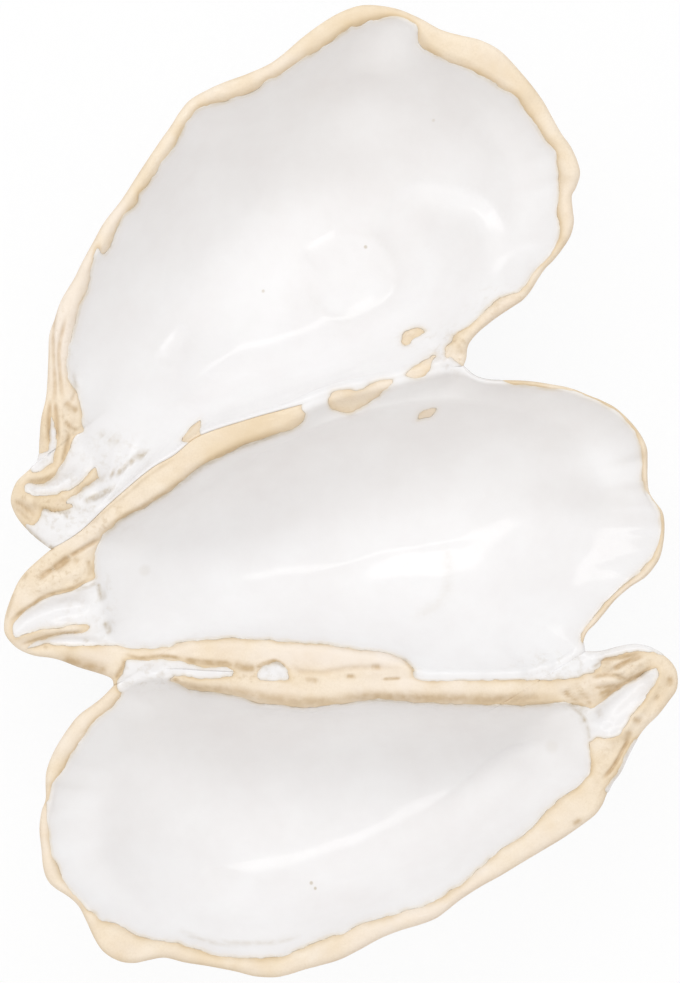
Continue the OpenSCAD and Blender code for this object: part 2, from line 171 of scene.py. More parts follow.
# Glazed places of the hinges, outside the wells
HINGE_WHITES = {
    "upper": [
        [
            (118, 512), (130, 486), (120, 455), (100, 430), (82, 432), (74, 438), (70, 447), (67, 456),
            (65, 464), (59, 471), (54, 479), (44, 483), (30, 483), (26, 488), (28, 494), (44, 495),
            (60, 494), (70, 490), (80, 482), (90, 474), (99, 467), (106, 469), (107, 475), (98, 480),
            (90, 484), (82, 490), (75, 496), (66, 502), (74, 504), (74, 508), (66, 510), (56, 511),
            (44, 509), (43, 515), (38, 520), (33, 524), (26, 524), (34, 537), (50, 558), (84, 542),
            (104, 524),
        ],
        [
            (52, 410), (54, 418), (57, 435), (57, 450), (54, 462), (44, 470), (34, 473), (31, 466),
            (38, 455), (47, 450), (51, 442), (51, 428),
        ],
    ],
    "middle": [
        [
            (13, 627), (18, 619), (27, 611), (36, 604), (48, 597), (62, 593), (78, 589), (91, 581),
            (97, 578), (110, 575), (122, 600), (126, 620), (132, 640), (126, 646), (100, 646), (80, 646),
            (62, 646), (48, 644), (38, 647), (26, 650), (34, 643), (48, 638), (62, 635), (87, 632),
            (87, 624), (62, 627), (42, 630), (28, 634), (16, 637),
        ],
    ],
    "lower": [
        [
            (657, 668), (650, 669), (641, 676), (632, 681), (623, 686), (612, 694), (601, 702), (592, 708),
            (584, 706), (574, 706), (562, 716), (570, 738), (588, 744), (597, 739), (612, 739), (622, 730),
            (634, 713), (645, 697), (655, 682),
        ],
        [(633, 740), (626, 752), (619, 766), (611, 779), (604, 790), (612, 792), (626, 770), (640, 744)],
    ],
}

# Glazed places across the seams
SEAM_WHITES = {
    "upper": [
        [
            (306, 396), (345, 383), (390, 373), (430, 362), (452, 358), (463, 370), (452, 378), (430, 382),
            (390, 392), (345, 403), (308, 414),
        ],
    ],
    "lower": [
        [
            (122, 694), (118, 680), (123, 670), (126, 660), (134, 660), (148, 661), (165, 659), (188, 663),
            (204, 668), (228, 667), (233, 672), (228, 677), (200, 678), (184, 676), (172, 680), (168, 690),
            (145, 696),
        ],
        [(257, 674), (262, 668), (271, 664), (280, 662), (287, 669), (289, 679), (270, 680), (259, 678)],
        [
            (420, 668), (480, 668), (541, 663), (567, 653), (584, 642), (612, 643), (640, 640), (662, 649),
            (667, 658), (652, 652), (632, 652), (612, 656), (602, 662), (596, 670), (582, 676), (560, 679),
            (540, 680), (480, 680), (420, 680),
        ],
    ],
}

# Bare places inside the glaze
BARE = [
    [
        (330, 395), (340, 390), (360, 390), (375, 382), (392, 380), (385, 390), (365, 405), (350, 412),
        (332, 408),
    ],
    [(405, 375), (420, 362), (435, 355), (432, 363), (425, 375), (412, 377)],
    [(402, 341), (406, 330), (418, 327), (426, 331), (414, 337), (408, 343)],
    [(418, 419), (423, 411), (436, 408), (431, 416), (424, 417)],
    [(184, 441), (186, 433), (194, 424), (201, 420), (200, 434), (210, 440)],
]

# Strokes of relief: places, half width in px, height in mm, how brown the stroke is; the brown is partly
# stains and lines of the clay and partly painted shade in grooves, folds and under edges
RELIEF = [
    ([(14, 497), (30, 499), (50, 499), (68, 495), (78, 488), (88, 480), (97, 473), (104, 470)], 5, 1.0, 0.0),
    ([(78, 492), (90, 485), (100, 481), (106, 477)], 2.5, -0.3, 0.5),
    ([(28, 504), (50, 507), (70, 504)], 3, 0.6, 0.1),
    ([(40, 508), (55, 511), (66, 513), (72, 511)], 2, -0.5, 0.9),
    ([(66, 513), (68, 519)], 1.8, -0.4, 0.7),
    ([(62, 395), (63, 425), (62, 450), (59, 465), (48, 476), (27, 477)], 4.5, 0.8, 0.0),
    ([(55, 474), (44, 480), (28, 481)], 2, -0.3, 0.7),
    ([(46, 398), (44, 420), (45, 446)], 3.5, 0.7, 0.1),
    ([(51, 402), (50, 425), (51, 445)], 2, -0.6, 0.7),
    ([(56, 402), (58, 425), (59, 440)], 2, -0.6, 0.6),
    ([(70, 432), (67, 448), (63, 462)], 2, -0.4, 0.7),
    ([(66, 402), (72, 408), (79, 411)], 3.5, -0.4, 0.7),
    ([(66, 421), (71, 427), (78, 430)], 2, -0.5, 0.9),
    ([(58, 296), (54, 340), (56, 385), (54, 404)], 2.2, -0.45, 0.45),
    ([(67, 318), (60, 350), (62, 385), (64, 400)], 2.2, -0.45, 0.45),
    ([(74, 372), (76, 390), (72, 402)], 2.2, -0.35, 0.4),
    ([(30, 488), (48, 488), (64, 482), (80, 470)], 6, -1.3, 0.0),
    ([(16, 500), (23, 508), (30, 514)], 9, 0.0, 0.3),
    ([(15, 500), (26, 508), (36, 516)], 2.2, -0.35, 0.6),
    ([(16, 508), (24, 515), (33, 522)], 2.2, -0.35, 0.5),
    ([(22, 497), (28, 498)], 1.6, -0.3, 0.8),
    ([(24, 525), (36, 537), (48, 547)], 2.5, -0.4, 0.8),
    ([(50, 549), (54, 547)], 2.5, -0.3, 1.0),
    ([(86, 501), (94, 498), (102, 494), (115, 488)], 2.6, 0.4, 0.9),
    ([(108, 473), (118, 473), (128, 464), (136, 459)], 2.2, 0.4, 0.7),
    ([(136, 458), (146, 454)], 3.5, 0.3, 0.7),
    ([(72, 503), (82, 510)], 2, 0.2, 0.3),
    ([(110, 437), (118, 443)], 4.5, 0.2, 0.5),
    ([(97, 431), (104, 436)], 3, 0.2, 0.3),
    ([(84, 531), (104, 513), (124, 497), (150, 475), (176, 458)], 1.8, 0.1, 0.3),
    ([(104, 535), (122, 519), (150, 503), (180, 483), (205, 465), (240, 447), (290, 430)], 2.6, -0.2, 0.6),
    # Painted shade: brown along the shadow under the band's lower edge
    ([(100, 539), (88, 546), (80, 551), (70, 557)], 2.4, -0.8, 0.7),
    ([(70, 557), (62, 564), (54, 569)], 3.8, -1.1, 1.0),
    ([(54, 569), (46, 574), (40, 580)], 2.6, -0.8, 0.8),
    ([(74, 558), (79, 563)], 3, -0.6, 0.4),
    ([(86, 568), (70, 575), (52, 582), (36, 592)], 6, 0.6, 0.0),
    ([(88, 560), (91, 569), (90, 577)], 2, -0.3, 0.6),
    ([(12, 622), (20, 614), (33, 605), (45, 597), (60, 592), (75, 588), (90, 579)], 2, -0.4, 0.8),
    ([(18, 625), (40, 614), (66, 606), (92, 604)], 9, -1.8, 0.0),
    ([(76, 590), (90, 586), (97, 583)], 1.8, 0.2, 0.5),
    ([(97, 584), (101, 592), (103, 601)], 2, 0.4, 0.8),
    ([(105, 622), (108, 628), (109, 634)], 2.4, 0.4, 0.7),
    ([(12, 640), (24, 636), (40, 632), (62, 629), (85, 628)], 4, 1.0, 0.0),
    ([(22, 645), (40, 639), (60, 634), (84, 632)], 1.6, -0.3, 0.7),
    ([(28, 648), (60, 641), (105, 643)], 4.5, -0.9, 0.0),
    ([(44, 646), (48, 648)], 2, 0.0, 0.5),
    ([(84, 639), (89, 642)], 2, 0.0, 0.4),
    ([(62, 658), (80, 664), (96, 668), (108, 673)], 6.5, -0.4, 0.7),
    ([(15, 592), (10, 608), (7, 620)], 2, -0.2, 0.4),
    ([(28, 573), (24, 580)], 2, -0.2, 0.5),
    ([(124, 660), (125, 664), (121, 671), (116, 679)], 2, -0.5, 0.8),
    ([(648, 674), (628, 692), (608, 712), (600, 730)], 10, -2.2, 0.0),
    ([(603, 667), (613, 668)], 4.5, 0.9, 0.3),
    ([(618, 671), (623, 671)], 4, 1.0, 0.0),
    ([(626, 676), (632, 673)], 4, 0.9, 0.3),
    ([(633, 666), (642, 662)], 4, 0.8, 0.0),
    # Painted shade: brown in the folds of the lower hinge
    ([(612, 670), (622, 664), (631, 660), (641, 656)], 2.4, -0.9, 1.0),
    ([(596, 661), (610, 659), (624, 657), (640, 653)], 2, -0.5, 0.8),
    ([(592, 668), (600, 663), (610, 663)], 2, -0.4, 0.6),
    ([(614, 677), (618, 675), (625, 680)], 1.8, -0.5, 0.7),
    ([(600, 700), (612, 692), (622, 684), (632, 679), (642, 674), (650, 667)], 2.4, -0.8, 1.0),
    ([(595, 682), (606, 680), (618, 680)], 4.5, 0.9, 0.0),
    ([(592, 678), (604, 675), (616, 676), (621, 681)], 1.8, -0.4, 0.8),
    ([(594, 688), (606, 687), (618, 685)], 1.8, -0.4, 0.8),
    ([(598, 695), (608, 690), (618, 686)], 3, -0.4, 0.8),
    ([(564, 694), (580, 698), (598, 694)], 9, -0.2, 0.3),
    ([(562, 690), (570, 697), (578, 704), (584, 711)], 2.4, -0.5, 0.75),
    ([(574, 687), (584, 696), (591, 706)], 2.2, -0.4, 0.55),
    ([(568, 702), (576, 709), (582, 717), (585, 724)], 2, 0.3, 0.8),
    ([(585, 722), (588, 732), (589, 740)], 2, 0.2, 0.4),
    ([(597, 709), (600, 718)], 2, -0.2, 0.4),
    ([(662, 672), (652, 692), (638, 712), (620, 734), (604, 742)], 5, 0.9, 0.0),
    ([(670, 677), (668, 687)], 3.5, -0.4, 0.8),
    ([(655, 696), (657, 699)], 2, -0.2, 0.8),
    ([(632, 719), (640, 722)], 3.5, -0.3, 0.6),
    ([(629, 731), (625, 742)], 3.5, -0.2, 0.6),
    ([(629, 738), (622, 750), (618, 758), (611, 769), (603, 778)], 2, -0.7, 0.9),
    ([(572, 824), (580, 820)], 3, -0.2, 0.6),
    ([(127, 654), (140, 658), (165, 656), (185, 659)], 2, 0.1, 0.8),
    ([(185, 659), (200, 662), (218, 663), (234, 665)], 3, 0.0, 1.0),
    ([(234, 664), (246, 668), (256, 668)], 4, -0.2, 0.8),
    ([(256, 667), (266, 663), (276, 661), (286, 667)], 2.2, 0.2, 1.0),
    ([(174, 679), (180, 680)], 2, 0.0, 0.9),
    # Painted shade: brown along the steep lower edge of the lower shell's top band, which faces away from
    # the light
    ([(176, 683), (200, 688), (230, 690), (262, 696), (290, 700), (320, 701), (345, 699)], 5, -0.3, 0.5),
    ([(335, 699), (360, 696), (400, 697), (450, 698), (500, 699), (556, 698)], 5.5, -0.4, 0.6),
    ([(306, 679), (318, 681)], 3, -0.3, 0.5),
    ([(346, 676), (355, 676)], 2.2, -0.3, 0.8),
    ([(371, 667), (380, 667)], 3, -0.3, 0.5),
    ([(383, 679), (400, 678)], 1.6, -0.3, 0.7),
    ([(290, 670), (320, 673), (350, 668), (390, 668)], 3, -0.4, 0.25),
    ([(402, 658), (410, 666), (415, 676)], 1.8, -0.3, 0.5),
    ([(446, 545), (450, 570), (444, 600), (415, 620)], 5, -0.3, 0.12),
    ([(305, 270), (318, 305), (350, 318), (385, 300), (396, 268), (378, 236), (345, 226)], 7, -0.35, 0.03),
    ([(180, 933), (205, 943), (235, 946), (270, 945), (300, 939)], 2.2, -0.4, 0.3),
]

# Creases of the wells, whose floor rises to the right along each line: places, rise in mm, reach in px
LEDGES = [
    ([(382, 193), (405, 180), (430, 176), (480, 190), (518, 230)], 5.4, 19),
    ([(300, 575), (345, 565), (385, 551), (430, 544), (492, 534)], 1.4, 10),
    ([(583, 568), (612, 558), (642, 546)], 1.2, 9),
    ([(428, 818), (470, 781), (503, 752), (550, 736)], 2.4, 10),
    ([(203, 864), (240, 880), (274, 894)], 1.0, 9),
    ([(296, 243), (318, 231), (340, 219)], 1.6, 9),
    ([(149, 357), (162, 337), (177, 319)], 1.9, 9),
]

# Swells and hollows of the wells: middle, half sizes in px, turn in degrees, height in mm
SWELLS = [
    (210, 220, 120, 50, -46, -2.0), (480, 195, 75, 70, 0, 3.5), (340, 442, 170, 70, -8, 6.0),
    (602, 484, 60, 28, 5, 3.0), (250, 748, 170, 45, -3, -3.0), (592, 712, 46, 46, 0, 6.0),
    (350, 130, 70, 45, 0, 3.0), (130, 845, 90, 70, 0, 2.5), (280, 348, 160, 40, -20, -3.5),
    (560, 556, 60, 36, 0, 2.5),
]

# Rough places of hand-pinched clay: middle, half sizes and strength
ROUGH = [
    (72, 506, 60, 36, 1.0), (62, 445, 24, 40, 0.9), (110, 455, 34, 24, 0.6), (50, 574, 40, 22, 0.9),
    (70, 612, 40, 26, 0.35), (104, 610, 12, 34, 0.7), (150, 676, 44, 14, 0.9), (262, 672, 46, 13, 0.8),
    (350, 671, 66, 10, 0.25), (612, 668, 48, 15, 1.0), (582, 698, 22, 18, 1.0), (656, 690, 18, 40, 0.5),
    (560, 668, 44, 15, 0.8), (452, 350, 22, 24, 0.9), (415, 336, 20, 12, 0.7), (60, 345, 16, 60, 0.5),
    (615, 775, 22, 45, 0.6), (510, 305, 40, 22, 0.5),
]

# Patches of the clay's tone: middle, half sizes and tone, above 0 ochre and below 0 pale
TONES = [
    (340, 25, 90, 40, 0.5), (500, 75, 70, 55, 0.3), (70, 300, 50, 110, -0.6), (250, 430, 120, 45, 0.5),
    (340, 655, 90, 16, -0.8), (400, 690, 170, 12, -0.2), (610, 690, 70, 60, 0.2), (200, 950, 160, 40, 0.1),
    (60, 575, 50, 25, 0.2), (28, 502, 36, 34, 0.5), (60, 430, 28, 50, 0.3),
]

# Marks in the glaze: place, half size in px and how dark
MARKS = [
    (262, 287, 2.4, 0.5), (366, 242, 2.6, 0.7), (311, 889, 2.6, 0.7), (315, 894, 2.2, 0.8),
    (434, 117, 2.2, 0.3), (144, 571, 8.0, 0.14), (552, 748, 9.0, 0.12),
]

# Lines: px between the points of an edge and of any other line, and steps of a span
EDGE_STEP = 2.2
LINE_STEP = 3.0
SPAN_STEPS = 8
# Outlines are measured within a margin, in chunks of places. Places outside it count as far off
NEAR_PX = 30.0
FAR_PX = 60.0
CHUNK = 4000
# Keeps divisors off 0
TINY = 1e-9

# Strokes and creases: how many half widths or reaches count, and how they taper, ease in and fade
STROKE_REACH = 3
STROKE_TAPER = 6
STROKE_END = 0.25
LEDGE_REACH = 6
LEDGE_TAPER = 4
LEDGE_EASE = 0.35
LEDGE_FADE = 2.4

# Noise: cells of the lattice and the sum of its layers, then cell in px and seed of each use
NOISE_CELLS = 64
NOISE_SUM = 1.6
STAIN_NOISE = (9, 61)
PATCH_NOISE = (24, 63)
RAGGED_NOISE = (9, 51)
LAYER_NOISE = (18, 31)
# Small bumps: height in mm, cell in px, seed and layers
LIP_BUMPS = [(0.18, 26, 3, 3), (0.08, 7, 9, 1)]
WELL_BUMPS = [(0.6, 95, 21, 3)]
ROUGH_BUMPS = [(0.42, 14, 33, 3), (0.32, 5.5, 37, 1)]

# Rings of a shell's top, which crowd towards the outside, and which of the well's rings the clay takes
LIP_RINGS = 36
LIP_CROWDING = 1.35
WELL_RINGS = 46
WELL_CROWDING = 1.25
LAST_WELL_SHARE = 0.985
CLAY_WELL_STRIDE = 2

# Least width of a lip in px, and its most as a share of the way to the middle
FREE_LIP_MIN = {"upper": 9.0, "middle": 5.0, "lower": 9.0}
SEAM_LIP_MIN = 3.0
CLOSED_LIP_MIN = 9.0
LIP_MOST_SHARE = 0.6
# Rounding of a free edge, of a seam's groove and of a well's brink, which falls as its slope does
FREE_ROUND = 2.2
FREE_DROP = 1.5
SEAM_ROUND = 0.4
BRINK_ROUND = 2.2
BRINK_SOFT = 0.4
STEEPEST = 1.5
# Most of a lip's width that one rounding takes, and that the brink takes beside a closed seam
ROUND_SHARE = 0.5
SADDLE_SHARE = 0.95
# Where the rims of a seam stand apart, in px from the left
GROOVES = {"upper": (70, 300), "lower": (172, 232)}
# Crown of a lip, the width that has it in full, and what brings each bulge to a height of 1
CROWN = 0.35
CROWN_WIDTH = 4.0
FREE_BULGE = 4.0
SADDLE_BULGE = 6.75
# Points of an edge over which its sizes blend
SEAM_BLEND = 3
SLANT_BLEND = 2
LIP_BLEND = 4
STEEP_BLEND = 6
WELL_CALM = 28
# Least share of a lip's length that counts as its width, where the edge slants
SLANT_LEAST = 0.3
# Square px that even out the rim heights, and the share of the relief that a free edge keeps
RISE_SPREAD = 60.0
EDGE_HOLD = 0.5
# Mm from a seam over which normals turn
NORMAL_EASE = 1.0

# Bowl of a well, where its edge has calmed down, and how fast lip and well relief fade into each other
FLOOR_Z = 5.0
WELL_CURVE = 2.8
WELL_CALM_SHARE = 0.15
LIP_FADE = 12
WELL_FADE = 9

# Outer side and back of a shell, with rings at shares of the way from edge to middle
EDGE_DROP = 2.0
SIDE_SHARES = (0.98, 0.6, 0.25)
BACK_SHARES = np.concatenate([np.linspace(0.012, 0.12, 8), np.linspace(0.136, 0.6, 30)])
BACK_CURVE = 1.5
FOOT_SHARE = 0.4
# Growth layers of the back: count, thickness, wander, noise round and across, and the shares that have them
BACK_LAYERS = 7
LAYER_T = 0.8
LAYER_WANDER = 0.8
LAYER_ROUND = 60
LAYER_ACROSS = 40
LAYERS_FROM = 0.05
LAYERS_TO = 0.56
LAYERS_FADE = 0.1

# Glaze: thickness, width of its rolled edge, and the depths in from the edge at which faces are cut
GLAZE_T = 0.24
GLAZE_ROLL = 1.0
GLAZE_CUTS = (0.22, GLAZE_ROLL)
# A cut stays this share of a side off its ends, and a coat closes where its depth is less than THIN
CUT_MARGIN = 0.03
THIN = 1e-6
# How far a coat's underside lies in the surface, and how far the clay sinks, over a width
GLAZE_SUNK = 0.06
CLAY_SUNK = 0.35
CLAY_SUNK_WIDTH = 1.5
# How ragged the glaze's edge is, which rough places double, and the depth that its tint reaches; that tint
# is warm thin glaze, with painted shade right at the edge
RAGGED_PX = 1.5
EDGE_TINT_MM = 2.0
# Glaze of the back: thickness, its first and last share, the rolls at both, and its tint per mm
BACK_GLAZE_T = 0.4
BACK_GLAZED = (0.025, 0.545)
BACK_ROLLS = (0.012, 0.02)
BACK_TINT = 8.0
# Columns of a cut top, whose places and normals come first, and of the coat made from it
DEPTH = 6
FIRST_AREA = 9
COAT_DEPTH = 3
COAT_STROKES = 4
COAT_ROUGH = 5
# Sides bent by more than this, in radians, look sharp
SHARP_ANGLE = 1.1

# Brown painted as shade on the clay, from the least to the most patchy: beside the glaze, where the lip
# steps down, and on a rim, where it rounds away
LINE_BROWN = (0.12, 0.47)
LINE_PX = 2.2
RIM_BROWN = (0.1, 0.45)
RIM_PX = 2.0
# Share of that on a seam's rim, brown of strokes and of rough places, and how stains stand out
SEAM_RIM = 0.2
STROKE_BROWN = 1.4
ROUGH_BROWN = 0.6
STAIN_GAIN = 1.6
STAIN_CUT = 0.25
# Ochre beside the glaze, painted as the shade of the step down into it, and how patches change the clay's
# tone
LINE_OCHRE = (0.27, 0.99)
OCHRE_PX = 4.0
PATCH_GAIN = 1.5
PATCH_TONE = 0.5
PATCH_MIDDLE = 0.6

# Coil of slip: points of its tapered ends, reach under the backs, fit under them, and its fillet
SLIP_TAPER = 25.0
SLIP_END = 0.15
SLIP_NEAR = 0.04
SLIP_FAR = 0.085
SLIP_LIFT = 0.35
SLIP_TOP = 0.2
SLIP_KEEL = 1.4
SLIP_STEPS = 8

# Colours of the clay, the slip and the glaze
CLAY_LIGHT = (0.985, 0.865, 0.70)
CLAY_DARK = (0.94, 0.79, 0.60)
CLAY_PALE = (0.99, 0.905, 0.82)
CLAY_OCHRE = (0.87, 0.70, 0.47)
# Brown of stains in the clay, also used for its painted shade
CLAY_BROWN = (0.62, 0.46, 0.28)
CLAY_DULL = (0.93, 0.90, 0.86)
SLIP_LIGHT = (0.82, 0.67, 0.46)
SLIP_DARK = (0.74, 0.58, 0.37)
GLAZE_GREY = (0.892, 0.874, 0.868)
GLAZE_WHITE = (0.938, 0.931, 0.929)
# Brown of flecks in the glaze, also used for painted shade along strokes near its edge
GLAZE_FLECK_AND_SHADE = (0.60, 0.52, 0.41)
# Looks: scale, detail and roughness of a noise, and the stops of a ramp, where one number is a grey
CLAY_BROAD = (60, 4, 0.6)
CLAY_BROAD_STOPS = (0.30, 0.52)
CLAY_GRAIN = (1700, 3, 0.7), [(0.3, (0.93, 0.92, 0.90)), (0.6, 1.0)]
CLAY_MOTTLE = (300, 2, 0.5), [(0.3, 0.6), (0.7, 1.0)]
CLAY_CLOUDS = (48, 3, 0.5), [(0.48, 0.0), (0.68, 0.6)]
# Painted shade: the clay is greyer in hollows and keeps its full colour on convex edges, by pointiness
CLAY_HOLLOW_SHADE = [(0.44, 0.0), (0.5, 0.45), (0.58, 1.0)]
CLAY_GRIT = (650, 3, 0.6), [(0.5, 0.0), (0.75, 0.7)]
CLAY_BREAKS = (420, 3, 0.5), [(0.3, 0.55), (0.6, 1.0)]
CLAY_ROUGHNESS = (240, 3, 0.5), [(0.3, 0.62), (0.7, 0.82)]
CLAY_SPECULAR = 0.3
GLAZE_CLOUDS = (48, 4, 0.6), [(0.3, GLAZE_GREY), (0.7, GLAZE_WHITE)]
# Glaze at its edge: warm where thin glaze shows the clay, and darker at the very edge as painted shade of
# the step
GLAZE_THIN = [(0.0, (0.84, 0.74, 0.57)), (0.12, (0.90, 0.83, 0.72)), (0.4, (0.98, 0.96, 0.94)), (1.0, 1.0)]
GLAZE_PATCH = (160, 3, 0.5), [(0.35, 0.35), (0.65, 1.0)]
GLAZE_GRIT = (430, 3, 0.6), [(0.5, 0.0), (0.75, 0.5)]
GLAZE_BREAKS = (520, 3, 0.5), [(0.32, 0.4), (0.6, 0.95)]
GLAZE_ROUGHNESS = (90, 3, 0.5), [(0.3, 0.10), (0.7, 0.18)]
GLAZE_IOR = 1.43
MARK_CORE = 0.3
# Bump: its noise, strength and height in metres
CLAY_BUMP = (1100, 4, 0.65), 0.35, 0.0003
GLAZE_BUMP = (130, 3, 0.5), 0.10, 0.0006

# Floor, camera, softbox and sky, in metres and watts
FLOOR_COLOUR = (0.95, 0.95, 0.95, 1)
FLOOR_WHITE_SHARE = 0.9
FLOOR_HALF = 3.0
FLOOR_LEVEL = -0.0003
# Share of the plate's height at which the photograph's scale holds
SCALE_SHARE = 0.9
CAMERA_ABOVE = 1.5
SENSOR = 36.0
SOFTBOX_PLACE = Vector((-0.3, 0.96, 1.15))
SOFTBOX_AIM = Vector((0, 0, 0.02))
SOFTBOX_SIZE = (2.2, 0.45)
SOFTBOX_POWER = 6.0
SKY_LOW = 0.44
SKY_HIGH = 1.07
SKY_WARM = (1.0, 0.93, 0.86)
SKY_COOL = (1.0, 1.012, 1.03)
SKY_STOPS = (0.0, 0.55)


# Curves, noise and distances


def smooth_step(t):
    return t * t * (3 - 2 * t)


def rounded(t):
    """Height of a quarter-round edge at a share of its width."""
    return np.sqrt(1 - (1 - np.clip(t, 0, 1)) ** 2)


def unit(rows):
    """Rows at a length of 1."""
    return rows / np.maximum(np.linalg.norm(rows, axis=-1, keepdims=True), TINY)


def cross(a, b):
    """Above 0 where b lies clockwise of a in the photograph, for plan ways."""
    return a[..., 0] * b[..., 1] - a[..., 1] * b[..., 0]


def curve(points, closed=False, step=LINE_STEP):
    """A smooth line through points, as places at even steps along it."""
    p = np.asarray(points, float)
    before, after = (p[-1:], p[:2]) if closed else (p[:1], p[-1:])
    p = np.vstack([before, p, after])
    a, b, c, d = (p[k : len(p) - 3 + k, None] for k in range(4))
    t = np.linspace(0, 1, SPAN_STEPS, endpoint=False)[:, None]
    fine = (2 * b + (c - a) * t + (2 * a - 5 * b + 4 * c - d) * t**2 + (3 * b - a - 3 * c + d) * t**3) / 2
    fine = np.vstack([fine.reshape(-1, 2), after[:1]])
    along = np.concatenate([[0], np.cumsum(np.linalg.norm(np.diff(fine, axis=0), axis=1))])
    places = np.linspace(0, along[-1], max(int(round(along[-1] / step)), 2) + 1)
    line = np.column_stack([np.interp(places, along, column) for column in fine.T])
    return line[:-1] if closed else line


def smoothed(values, width):
    """Values round a closed ring, evened out over a width in points."""
    if values.ndim > 1:
        return np.column_stack([smoothed(column, width) for column in values.T])
    reach = 3 * width
    kernel = np.exp(-0.5 * (np.arange(-reach, reach + 1) / width) ** 2)
    wrapped = np.concatenate([values[-reach:], values, values[:reach]])
    return np.convolve(wrapped, kernel / kernel.sum(), "valid")


def noise(px, cell, seed):
    """Smooth value noise from -1 to 1 over a plane, with features about one cell wide."""
    lattice = np.random.RandomState(seed).rand(NOISE_CELLS, NOISE_CELLS) * 2 - 1
    base = np.floor(px / cell).astype(int)
    u, v = smooth_step(px / cell - base).T
    i, j = (base % NOISE_CELLS).T
    i_next, j_next = ((base + 1) % NOISE_CELLS).T
    low = lattice[i, j] * (1 - u) + lattice[i_next, j] * u
    high = lattice[i, j_next] * (1 - u) + lattice[i_next, j_next] * u
    return low * (1 - v) + high * v


def layered_noise(px, cell, seed, layers=3):
    return sum(noise(px, cell / 2**k, seed + k) / 2**k for k in range(layers)) / NOISE_SUM


def bumps(px, table):
    return sum(height * layered_noise(px, cell, seed, layers) for height, cell, seed, layers in table)


def near_places(px, line, margin):
    """Numbers of the places inside a line's box and a margin round it."""
    return np.flatnonzero(np.all((px > line.min(0) - margin) & (px < line.max(0) + margin), axis=1))


def segment_distance(px, a, b):
    """Distance from each place to each segment, and the share along it."""
    way = b - a
    share = ((px[:, None] - a) * way).sum(2) / np.maximum((way**2).sum(1), TINY)
    share = np.clip(share, 0, 1)
    return np.linalg.norm(px[:, None] - (a + share[..., None] * way), axis=2), share


def area_distance(px, outline):
    """Signed distance in px to a closed outline, below 0 inside."""
    a = curve(outline, closed=True)
    b = np.roll(a, -1, axis=0)
    out = np.full(len(px), FAR_PX)
    near = near_places(px, a, NEAR_PX)
    for part in np.array_split(near, max(len(near) // CHUNK, 1)):
        x, y = px[part, :1], px[part, 1:]
        gap = segment_distance(px[part], a, b)[0].min(1)
        passes = (a[:, 1] > y) != (b[:, 1] > y)
        step_y = np.where(b[:, 1] == a[:, 1], TINY, b[:, 1] - a[:, 1])
        pass_x = a[:, 0] + (y - a[:, 1]) * (b[:, 0] - a[:, 0]) / step_y
        inside = (passes & (x < pass_x)).sum(1) % 2 == 1
        out[part] = np.where(inside, -gap, gap)
    return out


def areas_distance(px, outlines):
    return np.min([area_distance(px, outline) for outline in outlines], axis=0)


def near_line(px, places, margin):
    """A line, and the places near it with the step nearest to each, the gap to it and the share along."""
    line = curve(places)
    near = near_places(px, line, margin)
    gaps, shares = segment_distance(px[near], line[:-1], line[1:])
    step = gaps.argmin(1)
    rows = np.arange(len(near))
    return line, near, step, gaps[rows, step], (step + shares[rows, step]) / (len(line) - 1)


def stroke_profile(px, places, half_width):
    """A soft ridge from 0 to 1 along a stroke, tapered at its ends."""
    _, near, _, gap, along = near_line(px, places, STROKE_REACH * half_width)
    taper = np.clip(np.minimum(along, 1 - along) * STROKE_TAPER + STROKE_END, 0, 1)
    out = np.zeros(len(px))
    out[near] = np.exp(-((gap / half_width) ** 2)) * taper
    return out


def ledge_profile(px, places, reach):
    """A step from 0 up to the right of a line, which eases off over the reach and fades further out."""
    line, near, step, gap, _ = near_line(px, places, LEDGE_REACH * reach)
    right = cross(np.diff(line, axis=0)[step], px[near] - line[step]) > 0
    chord = line[-1] - line[0]
    along = (px[near] - line[0]) @ chord / (chord @ chord)
    taper = smooth_step(np.clip(np.minimum(along, 1 - along) * LEDGE_TAPER, 0, 1))
    gap = np.hypot(np.where(right, gap, 0) / reach, LEDGE_EASE) - LEDGE_EASE
    out = np.zeros(len(px))
    out[near] = (1 - np.exp(-gap)) * np.exp(-((gap / LEDGE_FADE) ** 2)) * taper
    return out


# Heights and places of the plate


def plan(px):
    """Places of the photograph as mm of the frame."""
    return np.array([BOX_LOW[0], BOX_HIGH[1]]) + (px - PHOTO_LOW) * MM_PER_PX * [1, -1]


def oval_reach(px, middle, half_sizes, turn=0):
    """How far places lie out from an oval's middle, where 1 is its edge."""
    turn = np.radians(turn)
    way = px - np.array(middle)
    along = way[:, 0] * np.cos(turn) + way[:, 1] * np.sin(turn)
    across = way[:, 1] * np.cos(turn) - way[:, 0] * np.sin(turn)
    return np.hypot(along / half_sizes[0], across / half_sizes[1])


def eased_in(start, oval, share):
    """Places at a share of the way from a start to an oval's middle, which take on the oval's form."""
    way = start - np.array(oval[0])
    ease = share * (2 - share)
    return oval[0] + way * ((1 + (1 / oval_reach(start, *oval) - 1) * ease) * (1 - share))[:, None]


def rise(px):
    """Height of the rim at places, from the heights along the edges, of which the nearest count most."""
    weight = 1 / (((px[:, None] - RISE[:, :2]) ** 2).sum(2) + RISE_SPREAD) ** 2
    return RIM_HEIGHT * (weight * RISE[:, 2]).sum(1) / weight.sum(1)


def back_height(share):
    """Height of the back at a share of the way from edge to middle, as a share of the edge's height."""
    return np.clip((1 - share - FOOT_SHARE) / (1 - FOOT_SHARE), 0, 1) ** BACK_CURVE


